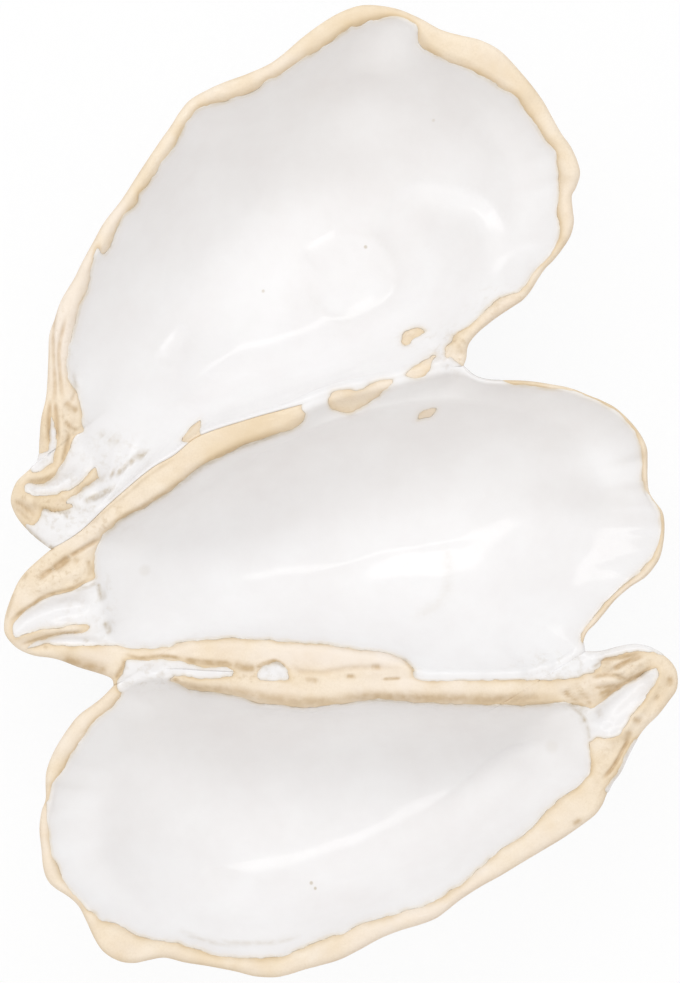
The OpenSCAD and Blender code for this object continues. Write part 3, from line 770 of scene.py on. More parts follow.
def well_shape(px):
    """Height in mm of the wells' creases, swells and hollows at places."""
    lift = sum(height * ledge_profile(px, places, reach) for places, height, reach in LEDGES)
    for x, y, half_x, half_y, turn, height in SWELLS:
        lift = lift + height * np.exp(-(oval_reach(px, (x, y), (half_x, half_y), turn) ** 2))
    return lift


def relief(px):
    """Height in mm of the modelled folds, ridges and pits at places, and how brown they are, a brown that is
    partly painted shade in grooves and under edges.
    """
    lift = np.zeros(len(px))
    brown = np.zeros(len(px))
    for places, half_width, height, tint in RELIEF:
        profile = stroke_profile(px, places, half_width)
        lift += height * profile
        brown = np.maximum(brown, STROKE_BROWN * tint * profile)
    return lift, np.minimum(brown, 1)


def round_spots(px, spots):
    """Strength at places of each soft round spot."""
    for x, y, half_x, half_y, strength in spots:
        yield strength * np.exp(-(oval_reach(px, (x, y), (half_x, half_y)) ** 4))


# Shells as rings of points


def edge_run(points):
    return curve(points, step=EDGE_STEP)


# Edges of each shell in order round it, with the name of the seam that an edge lies on
SEAM_RUNS = {"upper": edge_run(UPPER_SEAM), "lower": edge_run(LOWER_SEAM)}
RUNS = {
    "upper": [(edge_run(UPPER_EDGE), None), (SEAM_RUNS["upper"][::-1], "upper")],
    "middle": [
        (SEAM_RUNS["upper"], "upper"), (edge_run(BILL_EDGE), None),
        (SEAM_RUNS["lower"][::-1], "lower"), (edge_run(HINGE_EDGE), None),
    ],
    "lower": [(SEAM_RUNS["lower"], "lower"), (edge_run(LOWER_EDGE), None)],
}


def groove_round(run, seam):
    """Rounding of a seam's rims, which is 0 where they are closed."""
    start, end = GROOVES.get(seam, (0, 0))
    return SEAM_ROUND * ((run[:, 0] > start) & (run[:, 0] < end))


class Shell:
    """Point grids of one shell: its top from the edge into the well, and its back down to the foot."""

    def __init__(self, name):
        self.name = name
        self.oval = OVALS[name]
        runs = [(run[:-1], seam) for run, seam in RUNS[name]]
        self.outline = np.vstack([run for run, _ in runs])
        self.count = len(self.outline)
        self.on_seam = np.concatenate([np.full(len(run), seam is not None) for run, seam in runs])
        groove = np.concatenate([groove_round(run, seam) for run, seam in runs])
        self.closed = smoothed((self.on_seam & (groove == 0)).astype(float), SEAM_BLEND)
        self.round = smoothed(np.where(self.on_seam, groove, FREE_ROUND), SEAM_BLEND)
        self.drop = smoothed(np.where(self.on_seam, groove, FREE_DROP), SEAM_BLEND)
        way = np.array(self.oval[0]) - self.outline
        self.inward = unit(way)
        tangent = unit(np.roll(self.outline, -1, axis=0) - np.roll(self.outline, 1, axis=0))
        slant = smoothed(np.abs(cross(tangent, self.inward)), SLANT_BLEND)
        self.slant = np.clip(slant, SLANT_LEAST, 1)
        self.lip = self.lip_lengths(LIP_MOST_SHARE * np.linalg.norm(way, axis=1))
        self.make_top()

    def lip_lengths(self, most):
        """Px inward from each point of the edge to the glaze of the well."""
        start = curve(WELLS[self.name], closed=True)
        way = np.roll(start, -1, axis=0) - start
        offset, inward = start - self.outline[:, None], self.inward[:, None]
        base = cross(inward, way)
        base = np.where(np.abs(base) < TINY, TINY, base)
        far, on = cross(offset, way) / base, cross(offset, inward) / base
        hit = (on >= 0) & (on <= 1) & (far > 0) & (far < most[:, None])
        seam_least = SEAM_LIP_MIN + (CLOSED_LIP_MIN - SEAM_LIP_MIN) * self.closed
        least = np.where(self.on_seam, seam_least, FREE_LIP_MIN[self.name])
        return smoothed(np.maximum(np.where(hit, far, 0).max(1), least / self.slant), LIP_BLEND)

    def lip_rings(self, brink):
        """Places, heights and px from the edge of each ring of the lip, from the edge to the brink."""
        wide = self.lip * self.slant * PX
        outer = np.maximum(np.minimum(self.round, ROUND_SHARE * wide), TINY)
        inner_share = ROUND_SHARE + (SADDLE_SHARE - ROUND_SHARE) * self.closed
        inner = np.minimum(BRINK_ROUND, inner_share * wide)
        # The well's rings set out inward as eased_in does, so its slope at the brink follows from that
        speed = 3 - 2 / oval_reach(brink, *self.oval)
        run_in = np.linalg.norm(brink - self.oval[0], axis=1) * PX * speed
        steep = WELL_CURVE * (rise(brink) - FLOOR_Z) / run_in
        fall = BRINK_SOFT * inner * smoothed(np.minimum(steep / self.slant, STEEPEST), STEEP_BLEND)
        for f in np.linspace(0, 1, LIP_RINGS + 1) ** LIP_CROWDING:
            at = self.outline + (brink - self.outline) * f
            drop = self.drop * (1 - rounded(wide * f / outer))
            sink = fall * (1 - np.minimum(wide * (1 - f) / inner, 1)) ** 2
            bulge = FREE_BULGE * (1 - self.closed) + SADDLE_BULGE * f * self.closed
            crown = CROWN * bulge * f * (1 - f) * np.minimum(wide / CROWN_WIDTH, 1)
            yield at, rise(at) - drop - sink + crown, wide * f / PX

    def well_rings(self, brink, brink_z):
        """Places, heights and shares of the way in of each ring of the well, inside the brink."""
        calm_px = smoothed(brink, WELL_CALM)
        calm_z = smoothed(brink_z, WELL_CALM)
        for u in np.linspace(0, 1, WELL_RINGS + 1)[1:]:
            share = LAST_WELL_SHARE * u**WELL_CROWDING
            calm = smooth_step(min(share / WELL_CALM_SHARE, 1))
            at = eased_in(brink + (calm_px - brink) * calm, self.oval, share)
            top_z = brink_z + (calm_z - brink_z) * calm
            yield at, FLOOR_Z + (top_z - FLOOR_Z) * (1 - share) ** WELL_CURVE, share

    def make_top(self):
        """Sets the points of the top, ring by ring with the well's middle last, and what lies at each."""
        brink = smoothed(self.outline + self.inward * self.lip[:, None], LIP_BLEND)
        lip_px, lip_z, out_px = zip(*self.lip_rings(brink))
        well_px, well_z, shares = zip(*self.well_rings(lip_px[-1], lip_z[-1]))
        self.rings = len(lip_px) + len(well_px)
        px = np.vstack([*lip_px, *well_px, [self.oval[0]]])
        height = np.concatenate([*lip_z, *well_z, [FLOOR_Z]])
        share = np.append(np.repeat([*np.zeros(len(lip_px)), *shares], self.count), 1)
        self.top_px = px
        self.out_px = np.full(len(px), FAR_PX)
        self.out_px[: len(lip_px) * self.count] = np.concatenate(out_px)
        self.rough = np.maximum.reduce(list(round_spots(px, ROUGH)))
        lift, self.brown = relief(px)
        on_lip = np.clip(1 - share * LIP_FADE, 0, 1)
        lift += on_lip * bumps(px, LIP_BUMPS) + (1 - on_lip) * bumps(px, WELL_BUMPS)
        lift += np.clip(share * WELL_FADE, 0, 1) * well_shape(px)
        lift += self.rough * bumps(px, ROUGH_BUMPS)
        lift[: self.count] *= np.where(self.on_seam, 1, EDGE_HOLD)
        self.top = np.column_stack([plan(px), height + lift])
        self.top_normal = self.grid_normal(self.top, self.rings)

    def grid_normal(self, points, rings):
        """Normals of rings of points, and upward ones for points after the rings."""
        grid = points[: rings * self.count].reshape(rings, self.count, 3)
        around = np.roll(grid, -1, axis=1) - np.roll(grid, 1, axis=1)
        normal = unit(np.cross(np.gradient(grid, axis=0), around)).reshape(-1, 3)
        return np.vstack([normal, np.tile([0.0, 0.0, 1.0], (len(points) - len(normal), 1))])

    def ease_normals(self):
        """Turns the normals beside a seam gradually towards the one that both shells share on it."""
        lip = (LIP_RINGS + 1) * self.count
        grid = self.top_normal[:lip].reshape(-1, self.count, 3)
        away = self.out_px[:lip].reshape(-1, self.count) * PX
        weight = np.clip(1 - away / NORMAL_EASE, 0, 1) * self.on_seam
        self.top_normal[:lip] = unit(grid + (grid[0] - grid) * weight[..., None]).reshape(-1, 3)

    def ring_steps(self, ring):
        """Numbers of a ring's points, and of the point after each."""
        around = np.arange(self.count)
        return ring * self.count + around, ring * self.count + np.roll(around, -1)

    def bands(self, order):
        """Faces between rings, which are taken in an order."""
        faces = []
        for first, second in zip(order[:-1], order[1:]):
            a, a_next = self.ring_steps(first)
            b, b_next = self.ring_steps(second)
            faces += [np.column_stack([a, a_next, b_next]), np.column_stack([a, b_next, b])]
        return np.vstack(faces)

    def fan(self, ring, tip):
        """Faces from a ring to one point."""
        return np.column_stack([*self.ring_steps(ring), np.full(self.count, tip)])

    def top_faces(self):
        return np.vstack([self.bands(range(self.rings)), self.fan(self.rings - 1, self.rings * self.count)])

    def back_points(self, shares):
        """Points of the back at shares of the way in, with their outward normals and their shares."""
        edge_z = self.top[: self.count, 2] - EDGE_DROP
        grid = np.vstack([
            np.column_stack([plan(eased_in(self.outline, self.oval, share)), edge_z * back_height(share)])
            for share in shares
        ])
        share = np.repeat(shares, self.count)
        turn = np.tile(np.arange(self.count) / self.count, len(shares)) * 2 * np.pi
        around = LAYER_ROUND * np.column_stack([np.cos(turn), np.sin(turn)])
        around[:, 0] += LAYER_ACROSS * share
        layer = share * BACK_LAYERS + LAYER_WANDER * layered_noise(around, *LAYER_NOISE)
        window = np.clip(share / LAYERS_FROM, 0, 1) * np.clip((LAYERS_TO - share) / LAYERS_FADE, 0, 1)
        push = window * LAYER_T * (0.5 + 0.5 * np.cos(2 * np.pi * layer))
        normal = self.grid_normal(grid, len(shares))
        normal = normal * np.sign(-normal[:, 2:])
        return grid + normal * push[:, None], normal, share


# Clay bodies and slip


def clay_marks(shell):
    """How brown, ochre, pale and rough the clay is at each point of a shell's top. The brown beside the
    glaze and at the edge is painted shade; the brown of strokes is partly painted shade, and that of rough
    places is stains.
    """
    px = shell.top_px
    gap = np.maximum(shell.glaze_gap, 0)
    stain = np.clip(layered_noise(px, *STAIN_NOISE) * STAIN_GAIN - STAIN_CUT, 0, 1)
    patchy = 0.5 + 0.5 * np.clip(PATCH_GAIN * layered_noise(px, *PATCH_NOISE), -1, 1)
    # Painted shade: brown where the lip steps down into the glaze
    line = np.interp(patchy, (0, 1), LINE_BROWN) * np.exp(-((gap / LINE_PX) ** 2))
    free = np.where(np.resize(shell.on_seam, len(px)), SEAM_RIM, 1)
    # Painted shade: brown where the rim rounds away at the edge
    rim = np.interp(patchy, (0, 1), RIM_BROWN) * np.exp(-((shell.out_px / RIM_PX) ** 2)) * free
    # Painted shade: ochre beside the glaze, added to the clay's tone patches
    ochre = np.interp(patchy, (0, 1), LINE_OCHRE) * np.exp(-gap / OCHRE_PX)
    tone = sum(round_spots(px, TONES)) + PATCH_TONE * (patchy - PATCH_MIDDLE)
    return {
        "stain_and_painted_shade": np.maximum.reduce([shell.brown, ROUGH_BROWN * shell.rough * stain, line, rim]),
        "ochre": np.clip(ochre + tone, 0, 1),
        "pale": np.clip(-tone, 0, 1),
        "rough": shell.rough,
    }


def clay_piece(shell):
    """A shell's clay: its back from the foot outward, its side, and its top, sunk under the glaze."""
    keep = [*range(LIP_RINGS), *range(LIP_RINGS, shell.rings, CLAY_WELL_STRIDE)]
    kept = np.concatenate([shell.ring_steps(ring)[0] for ring in keep])
    sunk = CLAY_SUNK * np.clip(-shell.glaze_gap * PX / CLAY_SUNK_WIDTH, 0, 1)
    top = (shell.top - shell.top_normal * sunk[:, None])[kept]
    edge = shell.top[: shell.count]
    sides = [edge - [0, 0, EDGE_DROP * share] for share in SIDE_SHARES]
    back = shell.back_points(BACK_SHARES)[0].reshape(-1, shell.count, 3)[::-1].reshape(-1, 3)
    foot = [*plan(np.array(shell.oval[0])), 0.0]
    points = np.vstack([back, *sides, top, foot, shell.top[-1]])
    outer = len(BACK_SHARES) + len(SIDE_SHARES)
    rings = outer + len(keep)
    start, end = outer * shell.count, rings * shell.count
    faces = np.vstack([
        shell.bands(range(rings)), shell.fan(0, end)[:, [1, 0, 2]], shell.fan(rings - 1, end + 1),
    ])
    ends = (start, len(points) - end)
    marks = {key: np.pad(values[kept], ends) for key, values in clay_marks(shell).items()}
    held = np.zeros((len(points), 3))
    on_seam = np.flatnonzero(shell.on_seam)
    held[start + on_seam] = shell.top_normal[on_seam]
    return points, faces, marks, held


def seam_piece(run, above, below):
    """The coil of slip under two touching edges, filleted between their backs."""
    count = len(run)
    from_end = np.minimum(np.arange(count), np.arange(count)[::-1])
    taper = np.clip(from_end / SLIP_TAPER, SLIP_END, 1)
    z = rise(run) - SEAM_ROUND - EDGE_DROP

    def under(shell, reach):
        share = reach * taper
        return np.column_stack([plan(eased_in(run, shell.oval, share)), z * back_height(share) + SLIP_LIFT])

    apex = np.column_stack([plan(run), z + SLIP_TOP])
    keel = apex - [0, 0, SLIP_KEEL]
    first, last = under(above, SLIP_FAR), under(below, SLIP_FAR)
    lines = [apex, under(above, SLIP_NEAR)]
    for t in np.linspace(0, 1, SLIP_STEPS):
        lines.append(first * (1 - t) ** 2 + keel * 2 * t * (1 - t) + last * t**2)
    lines.append(under(below, SLIP_NEAR))
    number = np.arange(count * len(lines)).reshape(count, len(lines))
    turned = np.roll(number, -1, axis=1)
    a, a_next, b, b_next = (grid.ravel() for grid in (number[:-1], turned[:-1], number[1:], turned[1:]))
    cap = np.array([(0, k, k + 1) for k in range(1, len(lines) - 1)])
    faces = np.vstack([
        np.column_stack([a, b_next, b]), np.column_stack([a, a_next, b_next]),
        number[0][cap[:, ::-1]], number[-1][cap],
    ])
    return np.stack(lines, axis=1).reshape(-1, 3), faces, {}


# Coats of glaze


def split(values, faces, level):
    """Cuts triangles where the level at their points passes 0, and adds the values of the new points."""
    side = level >= 0
    mixed = side[faces].any(1) & ~side[faces].all(1)
    whole, cut = faces[~mixed], faces[mixed]
    sides = side[cut]
    lone = np.where(sides.sum(1) == 1, sides.argmax(1), (~sides).argmax(1))
    a, b, c = (cut[np.arange(len(cut)), (lone + k) % 3] for k in range(3))
    edges = np.sort(np.vstack([np.column_stack([a, b]), np.column_stack([a, c])]), axis=1)
    keys, place = np.unique(edges[:, 0] * len(values) + edges[:, 1], return_inverse=True)
    p, q = keys // len(values), keys % len(values)
    share = np.clip(level[p] / (level[p] - level[q]), CUT_MARGIN, 1 - CUT_MARGIN)[:, None]
    made = values[p] * (1 - share) + values[q] * share
    ab, ac = (len(values) + place).reshape(2, -1)
    pieces = [np.column_stack(corners) for corners in ((a, ab, ac), (ab, b, c), (ab, c, ac))]
    level = np.concatenate([level, np.zeros(len(made))])
    return np.vstack([values, made]), np.vstack([whole, *pieces]), level


def compact(values, faces):
    """Leaves out the points that no face uses."""
    used = np.unique(faces)
    renumber = np.full(len(values), -1)
    renumber[used] = np.arange(len(used))
    return values[used], renumber[faces]


def coat(values, faces):
    """A closed coat of glaze over cut faces.

    Columns of its points: place 0-2, depth in from the edge, strokes, roughness, and the normal that is
    held at a border with another coat, which is 0 elsewhere.
    """
    values, faces = compact(values, faces)
    count = len(values)
    values[:, DEPTH] = np.maximum(values[:, DEPTH], 0)
    depth, place, normal = values[:, DEPTH], values[:, :3], unit(values[:, 3:DEPTH])
    thin = depth < THIN
    over = place + normal * (GLAZE_T * rounded(depth / GLAZE_ROLL))[:, None]
    under = place - normal * (GLAZE_SUNK * ~thin)[:, None]
    below = np.arange(count) + count * ~thin
    sides = np.vstack([faces[:, [0, 1]], faces[:, [1, 2]], faces[:, [2, 0]]])
    border = sides[~np.isin(sides @ [count, 1], sides @ [1, count])]
    border = border[~thin[border].all(1)]
    start, end = border.T
    walls = np.vstack([
        np.column_stack([end, start, below[start]]), np.column_stack([end, below[start], below[end]]),
    ])
    walls = walls[(walls != np.roll(walls, 1, axis=1)).all(1)]
    held = np.zeros((2 * count, 3))
    held[border] = normal[border]
    points = np.column_stack([np.vstack([over, under]), np.tile(values[:, DEPTH:FIRST_AREA], (2, 1)), held])
    return compact(points, np.vstack([faces, below[faces][:, ::-1], walls]))


def merged(parts):
    """One mesh of several."""
    starts = np.cumsum([0, *(len(points) for points, _ in parts)])
    faces = np.vstack([faces + start for (_, faces), start in zip(parts, starts)])
    return np.vstack([points for points, _ in parts]), faces


def glaze_areas(name):
    """Outlines of the glaze on a shell's top by node: its seams, its hinge and then its well."""
    seams = {f"{seam}_seam_glaze": SEAM_WHITES[seam] for _, seam in RUNS[name] if seam}
    return {**seams, f"{name}_hinge_glaze": HINGE_WHITES[name], f"{name}_well_glaze": [WELLS[name]]}


def find_glaze(shell, areas):
    """Sets the px from each point to the edge of the glaze, below 0 on it, and gives those to each area."""
    px = shell.top_px
    gaps = [areas_distance(px, outlines) for outlines in areas.values()]
    ragged = RAGGED_PX * (1 + shell.rough) * layered_noise(px, *RAGGED_NOISE)
    shell.glaze_gap = np.maximum(np.min(gaps, axis=0), -areas_distance(px, BARE)) + ragged
    return gaps


def glaze_parts(shell, areas, gaps):
    """The glazed part of a shell's top, cut into areas, of which the last takes what the others leave."""
    depth = -shell.glaze_gap * PX
    values = np.column_stack([shell.top, shell.top_normal, depth, shell.brown, shell.rough, *gaps[:-1]])
    values, faces, level = split(values, shell.top_faces(), -depth)
    values[level == 0, DEPTH] = 0
    values, faces = compact(values, faces[level[faces].min(1) < 0])
    for inset in GLAZE_CUTS:
        values, faces, _ = split(values, faces, inset - values[:, DEPTH])
    *first, last = areas
    parts = {}
    for column, node in enumerate(first, FIRST_AREA):
        values, faces, level = split(values, faces, values[:, column])
        inside = level[faces].min(1) < 0
        parts[node] = values, faces[inside]
        faces = faces[~inside]
    parts[last] = values, faces
    return parts


def back_coat(shell):
    """The glaze on a shell's back, rolled thin at both ends."""
    shares = BACK_SHARES[(BACK_SHARES > BACK_GLAZED[0]) & (BACK_SHARES < BACK_GLAZED[1])]
    back, normal, share = shell.back_points(shares)
    rolls = np.minimum((share - shares[0]) / BACK_ROLLS[0], (shares[-1] - share) / BACK_ROLLS[1])
    thick = BACK_GLAZE_T * rounded(rolls)
    over = back + normal * thick[:, None]
    under = back - normal * (GLAZE_SUNK * (thick > 0))[:, None]
    rings = len(shares)
    inner = slice(shell.count, (rings - 1) * shell.count)
    points = np.vstack([over, under[inner]])
    under_order = [0, *range(rings, 2 * rings - 2), rings - 1]
    faces = np.vstack([shell.bands(range(rings)[::-1]), shell.bands(under_order)])
    edge = BACK_TINT * np.append(thick, thick[inner])
    blank = np.zeros(len(points))
    return points, faces, {"edge": edge, "flecks_and_painted_shade": blank, "rough": blank}


# Materials


def set_inputs(tree, node, inputs):
    """Sets a node's inputs by name or number: outputs of other nodes are linked, and values are set."""
    for key, value in inputs.items():
        if isinstance(value, bpy.types.NodeSocket):
            tree.links.new(value, node.inputs[key])
        else:
            node.inputs[key].default_value = value


def add_node(tree, kind, inputs, **settings):
    node = tree.nodes.new(f"ShaderNode{kind}")
    for key, value in settings.items():
        setattr(node, key, value)
    set_inputs(tree, node, inputs)
    return node


def new_material(name, shader_kind):
    """A material with one shader of a kind, its node tree and that shader."""
    material = bpy.data.materials.new(name)
    material.use_nodes = True
    tree = material.node_tree
    tree.nodes.clear()
    shader = add_node(tree, shader_kind, {})
    add_node(tree, "OutputMaterial", {"Surface": shader.outputs[0]})
    return material, tree, shader


def noise_node(tree, scale, detail, rough):
    place = add_node(tree, "TexCoord", {}).outputs["Object"]
    inputs = {"Vector": place, "Scale": scale, "Detail": detail, "Roughness": rough}
    return add_node(tree, "TexNoise", inputs).outputs["Fac"]


def ramp_node(tree, source, stops):
    node = add_node(tree, "ValToRGB", {"Fac": source})
    elements = node.color_ramp.elements
    for _ in stops[len(elements) :]:
        elements.new(0.5)
    for element, (place, colour) in zip(elements, stops):
        element.position = place
        element.color = (*np.broadcast_to(colour, 3), 1.0)
    return node.outputs["Color"]


def noise_ramp(tree, settings, stops):
    return ramp_node(tree, noise_node(tree, *settings), stops)


def mix_node(tree, factor, a, b, blend="MIX"):
    """A mix of two colours. Inputs 6 and 7 and output 2 are the colour ones of the node."""
    inputs = {"Factor": factor, 6: a, 7: (*b, 1.0) if isinstance(b, tuple) else b}
    return add_node(tree, "Mix", inputs, data_type="RGBA", blend_type=blend).outputs[2]


def math_node(tree, operation, a, b):
    return add_node(tree, "Math", {0: a, 1: b}, operation=operation).outputs[0]


def attribute_node(tree, name):
    return add_node(tree, "Attribute", {}, attribute_name=name).outputs["Fac"]


def bump_node(tree, settings, strength, distance):
    inputs = {"Height": noise_node(tree, *settings), "Strength": strength, "Distance": distance}
    return add_node(tree, "Bump", inputs).outputs["Normal"]


def stain_node(tree, grit, strokes, breaks):
    """Specks in rough places, and broken streaks along the strokes, whose brown is partly painted shade."""
    specks = math_node(tree, "MULTIPLY", noise_ramp(tree, *grit), attribute_node(tree, "rough"))
    streaks = math_node(tree, "MULTIPLY", attribute_node(tree, strokes), noise_ramp(tree, *breaks))
    return math_node(tree, "MAXIMUM", specks, streaks)


def marked_node(tree, stain, marks):
    """A stain with small round marks added, which are placed as seen from above."""
    place = add_node(tree, "TexCoord", {}).outputs["Object"]
    flat = add_node(tree, "VectorMath", {0: place, 1: (1, 1, 0)}, operation="MULTIPLY").outputs["Vector"]
    for x, y, half, dark in marks:
        middle = (*plan(np.array([x, y])) / MM, 0)
        gap = add_node(tree, "VectorMath", {0: flat, 1: middle}, operation="DISTANCE").outputs["Value"]
        reach = half * PX / MM
        core = MARK_CORE * reach
        inputs = {"Value": gap, "From Min": core, "From Max": reach, "To Min": dark, "To Max": 0}
        spot = add_node(tree, "MapRange", inputs, interpolation_type="SMOOTHSTEP").outputs["Result"]
        stain = math_node(tree, "MAXIMUM", stain, spot)
    return stain


def clay_material(name, light, dark):
    """Matt fired clay, grainy, with paler clouds and ochre patches, brown stains, painted shade in its
    folds, beside the glaze and at its rims, and greyer in hollows as painted shade.
    """
    material, tree, shader = new_material(name, "BsdfPrincipled")
    broad = noise_ramp(tree, CLAY_BROAD, list(zip(CLAY_BROAD_STOPS, (dark, light))))
    mottle = noise_ramp(tree, *CLAY_MOTTLE)
    grained = mix_node(tree, mottle, broad, noise_ramp(tree, *CLAY_GRAIN), "MULTIPLY")
    clouds = math_node(tree, "MAXIMUM", noise_ramp(tree, *CLAY_CLOUDS), attribute_node(tree, "pale"))
    pale = mix_node(tree, clouds, grained, CLAY_PALE)
    warm = mix_node(tree, attribute_node(tree, "ochre"), pale, CLAY_OCHRE)
    dull = mix_node(tree, mottle, warm, CLAY_DULL, "MULTIPLY")
    # Painted shade: greyer in hollows than on convex edges
    hollow_shade = ramp_node(tree, add_node(tree, "NewGeometry", {}).outputs["Pointiness"], CLAY_HOLLOW_SHADE)
    edged = mix_node(tree, hollow_shade, dull, warm)
    # Specks and streaks of brown: the streaks carry painted shade of folds, of the lip's step into the glaze
    # and of rounded rims
    stain = stain_node(tree, CLAY_GRIT, "stain_and_painted_shade", CLAY_BREAKS)
    set_inputs(tree, shader, {
        "Base Color": mix_node(tree, stain, edged, CLAY_BROWN),
        "Roughness": noise_ramp(tree, *CLAY_ROUGHNESS),
        "Specular IOR Level": CLAY_SPECULAR,
        "Normal": bump_node(tree, *CLAY_BUMP),
    })
    return material


def glaze_material(name, marks):
    """White gloss glaze, cloudy, warm where it thins out at its edges and darker right at them as painted
    shade, and flecked, with painted shade along strokes near its edge.
    """
    material, tree, shader = new_material(name, "BsdfPrincipled")
    broad = noise_ramp(tree, *GLAZE_CLOUDS)
    # Warm where the glaze thins at its edge, and darker right at it as painted shade
    thin = ramp_node(tree, attribute_node(tree, "edge"), GLAZE_THIN)
    edged = mix_node(tree, noise_ramp(tree, *GLAZE_PATCH), broad, thin, "MULTIPLY")
    # Specks and streaks; the streaks carry the strokes' brown, which is partly painted shade
    stain = stain_node(tree, GLAZE_GRIT, "flecks_and_painted_shade", GLAZE_BREAKS)
    if marks:
        stain = marked_node(tree, stain, marks)
    set_inputs(tree, shader, {
        "Base Color": mix_node(tree, stain, edged, GLAZE_FLECK_AND_SHADE),
        "Roughness": noise_ramp(tree, *GLAZE_ROUGHNESS),
        "IOR": GLAZE_IOR,
        "Normal": bump_node(tree, *GLAZE_BUMP),
    })
    return material


clay = clay_material("bare_clay", CLAY_LIGHT, CLAY_DARK)
slip = clay_material("bare_slip", SLIP_LIGHT, SLIP_DARK)
glaze = glaze_material("white_glaze", MARKS)
back_glaze = glaze_material("back_glaze", [])


# Pieces


def add_object(name, data):
    added = bpy.data.objects.new(name, data)
    bpy.context.scene.collection.objects.link(added)
    return added


def add_piece(name, node, slot, material, points, faces, marks, held=None):
    """One piece of the visual, with marks at its points and held normals, of which 0 leaves one free.

    Rings run clockwise from above, so each face is turned to look outward.
    """
    faces = faces[:, ::-1]
    mesh = bpy.data.meshes.new(name)
    mesh.vertices.add(len(points))
    mesh.vertices.foreach_set("co", (points / MM).ravel())
    mesh.loops.add(faces.size)
    mesh.loops.foreach_set("vertex_index", faces.astype(np.int32).ravel())
    mesh.polygons.add(len(faces))
    mesh.polygons.foreach_set("loop_start", np.arange(0, faces.size, 3, dtype=np.int32))
    mesh.polygons.foreach_set("use_smooth", np.ones(len(faces), bool))
    for key, values in marks.items():
        mesh.attributes.new(key, "FLOAT", "POINT").data.foreach_set("value", values)
    mesh.update(calc_edges=True)
    mesh.validate()
    mesh.set_sharp_from_angle(angle=SHARP_ANGLE)
    if held is not None:
        mesh.normals_split_custom_set_from_vertices(held)
    mesh.materials.append(material)
    piece = add_object(name, mesh)
    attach(piece, "root")
    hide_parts(node)


def join_normals(a, b):
    """Gives two shells one normal at each place where their edges touch, so that their coats meet."""
    at_b = {tuple(place): k for k, place in enumerate(np.round(b.outline, 3).tolist())}
    for k, place in enumerate(np.round(a.outline, 3).tolist()):
        twin = at_b.get(tuple(place))
        if twin is not None:
            a.top_normal[k] = b.top_normal[twin] = unit(a.top_normal[k] + b.top_normal[twin])


shells = {name: Shell(name) for name in OVALS}
for above, below in SEAM_SHELLS.values():
    join_normals(shells[above], shells[below])
coats = {}
for name, shell in shells.items():
    shell.ease_normals()
    areas = glaze_areas(name)
    gaps = find_glaze(shell, areas)
    add_piece(f"{name}_shell_clay", f"{name}_shell", "clay", clay, *clay_piece(shell))
    add_piece(f"{name}_back_coat", f"{name}_back_glaze", "glaze", back_glaze, *back_coat(shell))
    for node, part in glaze_parts(shell, areas, gaps).items():
        coats.setdefault(node, []).append(coat(*part))
for node, parts in coats.items():
    points, faces = merged(parts)
    edge = np.clip(points[:, COAT_DEPTH] / EDGE_TINT_MM, 0, 1)
    marks = {"edge": edge, "flecks_and_painted_shade": points[:, COAT_STROKES], "rough": points[:, COAT_ROUGH]}
    held = points[:, COAT_ROUGH + 1 :]
    add_piece(node.replace("_glaze", "_coat"), node, "glaze", glaze, points[:, :3], faces, marks, held)
for name, (above, below) in SEAM_SHELLS.items():
    coil = seam_piece(SEAM_RUNS[name], shells[above], shells[below])
    add_piece(f"{name}_seam_slip", f"{name}_seam", "slip", slip, *coil)


# Floor, camera and light


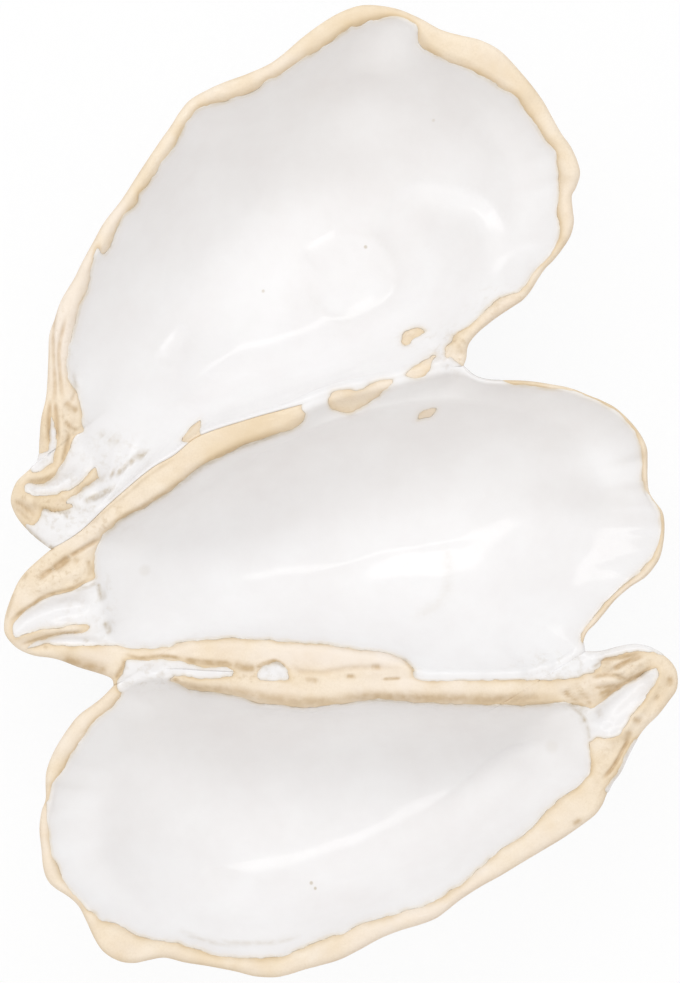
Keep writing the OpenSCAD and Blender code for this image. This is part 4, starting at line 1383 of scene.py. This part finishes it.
def floor_material():
    """A pale floor that takes shadows and bounces light, and looks nearly white to the camera."""
    material, tree, mix = new_material("floor_white", "MixShader")
    seen = add_node(tree, "LightPath", {}).outputs["Is Camera Ray"]
    set_inputs(tree, mix, {
        "Fac": math_node(tree, "MULTIPLY", seen, FLOOR_WHITE_SHARE),
        1: add_node(tree, "BsdfDiffuse", {"Color": FLOOR_COLOUR}).outputs[0],
        2: add_node(tree, "Emission", {"Strength": 1.0}).outputs[0],
    })
    return material


floor_mesh = bpy.data.meshes.new("floor")
corners = [(x * FLOOR_HALF, y * FLOOR_HALF, FLOOR_LEVEL) for x, y in ((-1, -1), (1, -1), (1, 1), (-1, 1))]
floor_mesh.from_pydata(corners, [], [(0, 1, 2, 3)])
floor_mesh.materials.append(floor_material())
floor = add_object("floor", floor_mesh)

camera_data = bpy.data.cameras.new("camera")
camera_data.sensor_width = SENSOR
camera_data.lens = SENSOR * CAMERA_ABOVE / (PHOTO_SIZE[1] * MM_PER_PX[1] / MM)
camera = add_object("camera", camera_data)
camera.location = (*plan(PHOTO_SIZE / 2) / MM, SCALE_SHARE * RIM_HEIGHT / MM + CAMERA_ABOVE)
bpy.context.scene.camera = camera

lamp_data = bpy.data.lights.new("softbox", "AREA")
lamp_data.shape = "RECTANGLE"
lamp_data.size, lamp_data.size_y = SOFTBOX_SIZE
lamp_data.energy = SOFTBOX_POWER
lamp = add_object("softbox", lamp_data)
lamp.location = SOFTBOX_PLACE
lamp.rotation_mode = "QUATERNION"
lamp.rotation_quaternion = (SOFTBOX_AIM - SOFTBOX_PLACE).to_track_quat("-Z", "Y")


def studio_world():
    """An even sky that is darker towards the horizon, and warmer on the side away from the softbox."""
    world = bpy.data.worlds.new("studio")
    world.use_nodes = True
    tree = world.node_tree
    way = add_node(tree, "TexCoord", {}).outputs["Generated"]
    parts = add_node(tree, "SeparateXYZ", {"Vector": way}).outputs
    level = add_node(tree, "MapRange", {"Value": parts["Z"], "To Min": SKY_LOW, "To Max": SKY_HIGH})
    across = add_node(tree, "MapRange", {"Value": parts["Y"], "From Min": -1})
    tint = ramp_node(tree, across.outputs["Result"], list(zip(SKY_STOPS, (SKY_WARM, SKY_COOL))))
    set_inputs(tree, tree.nodes["Background"], {"Color": tint, "Strength": level.outputs["Result"]})
    return world


bpy.context.scene.world = studio_world()
bpy.context.scene.view_settings.view_transform = "Standard"
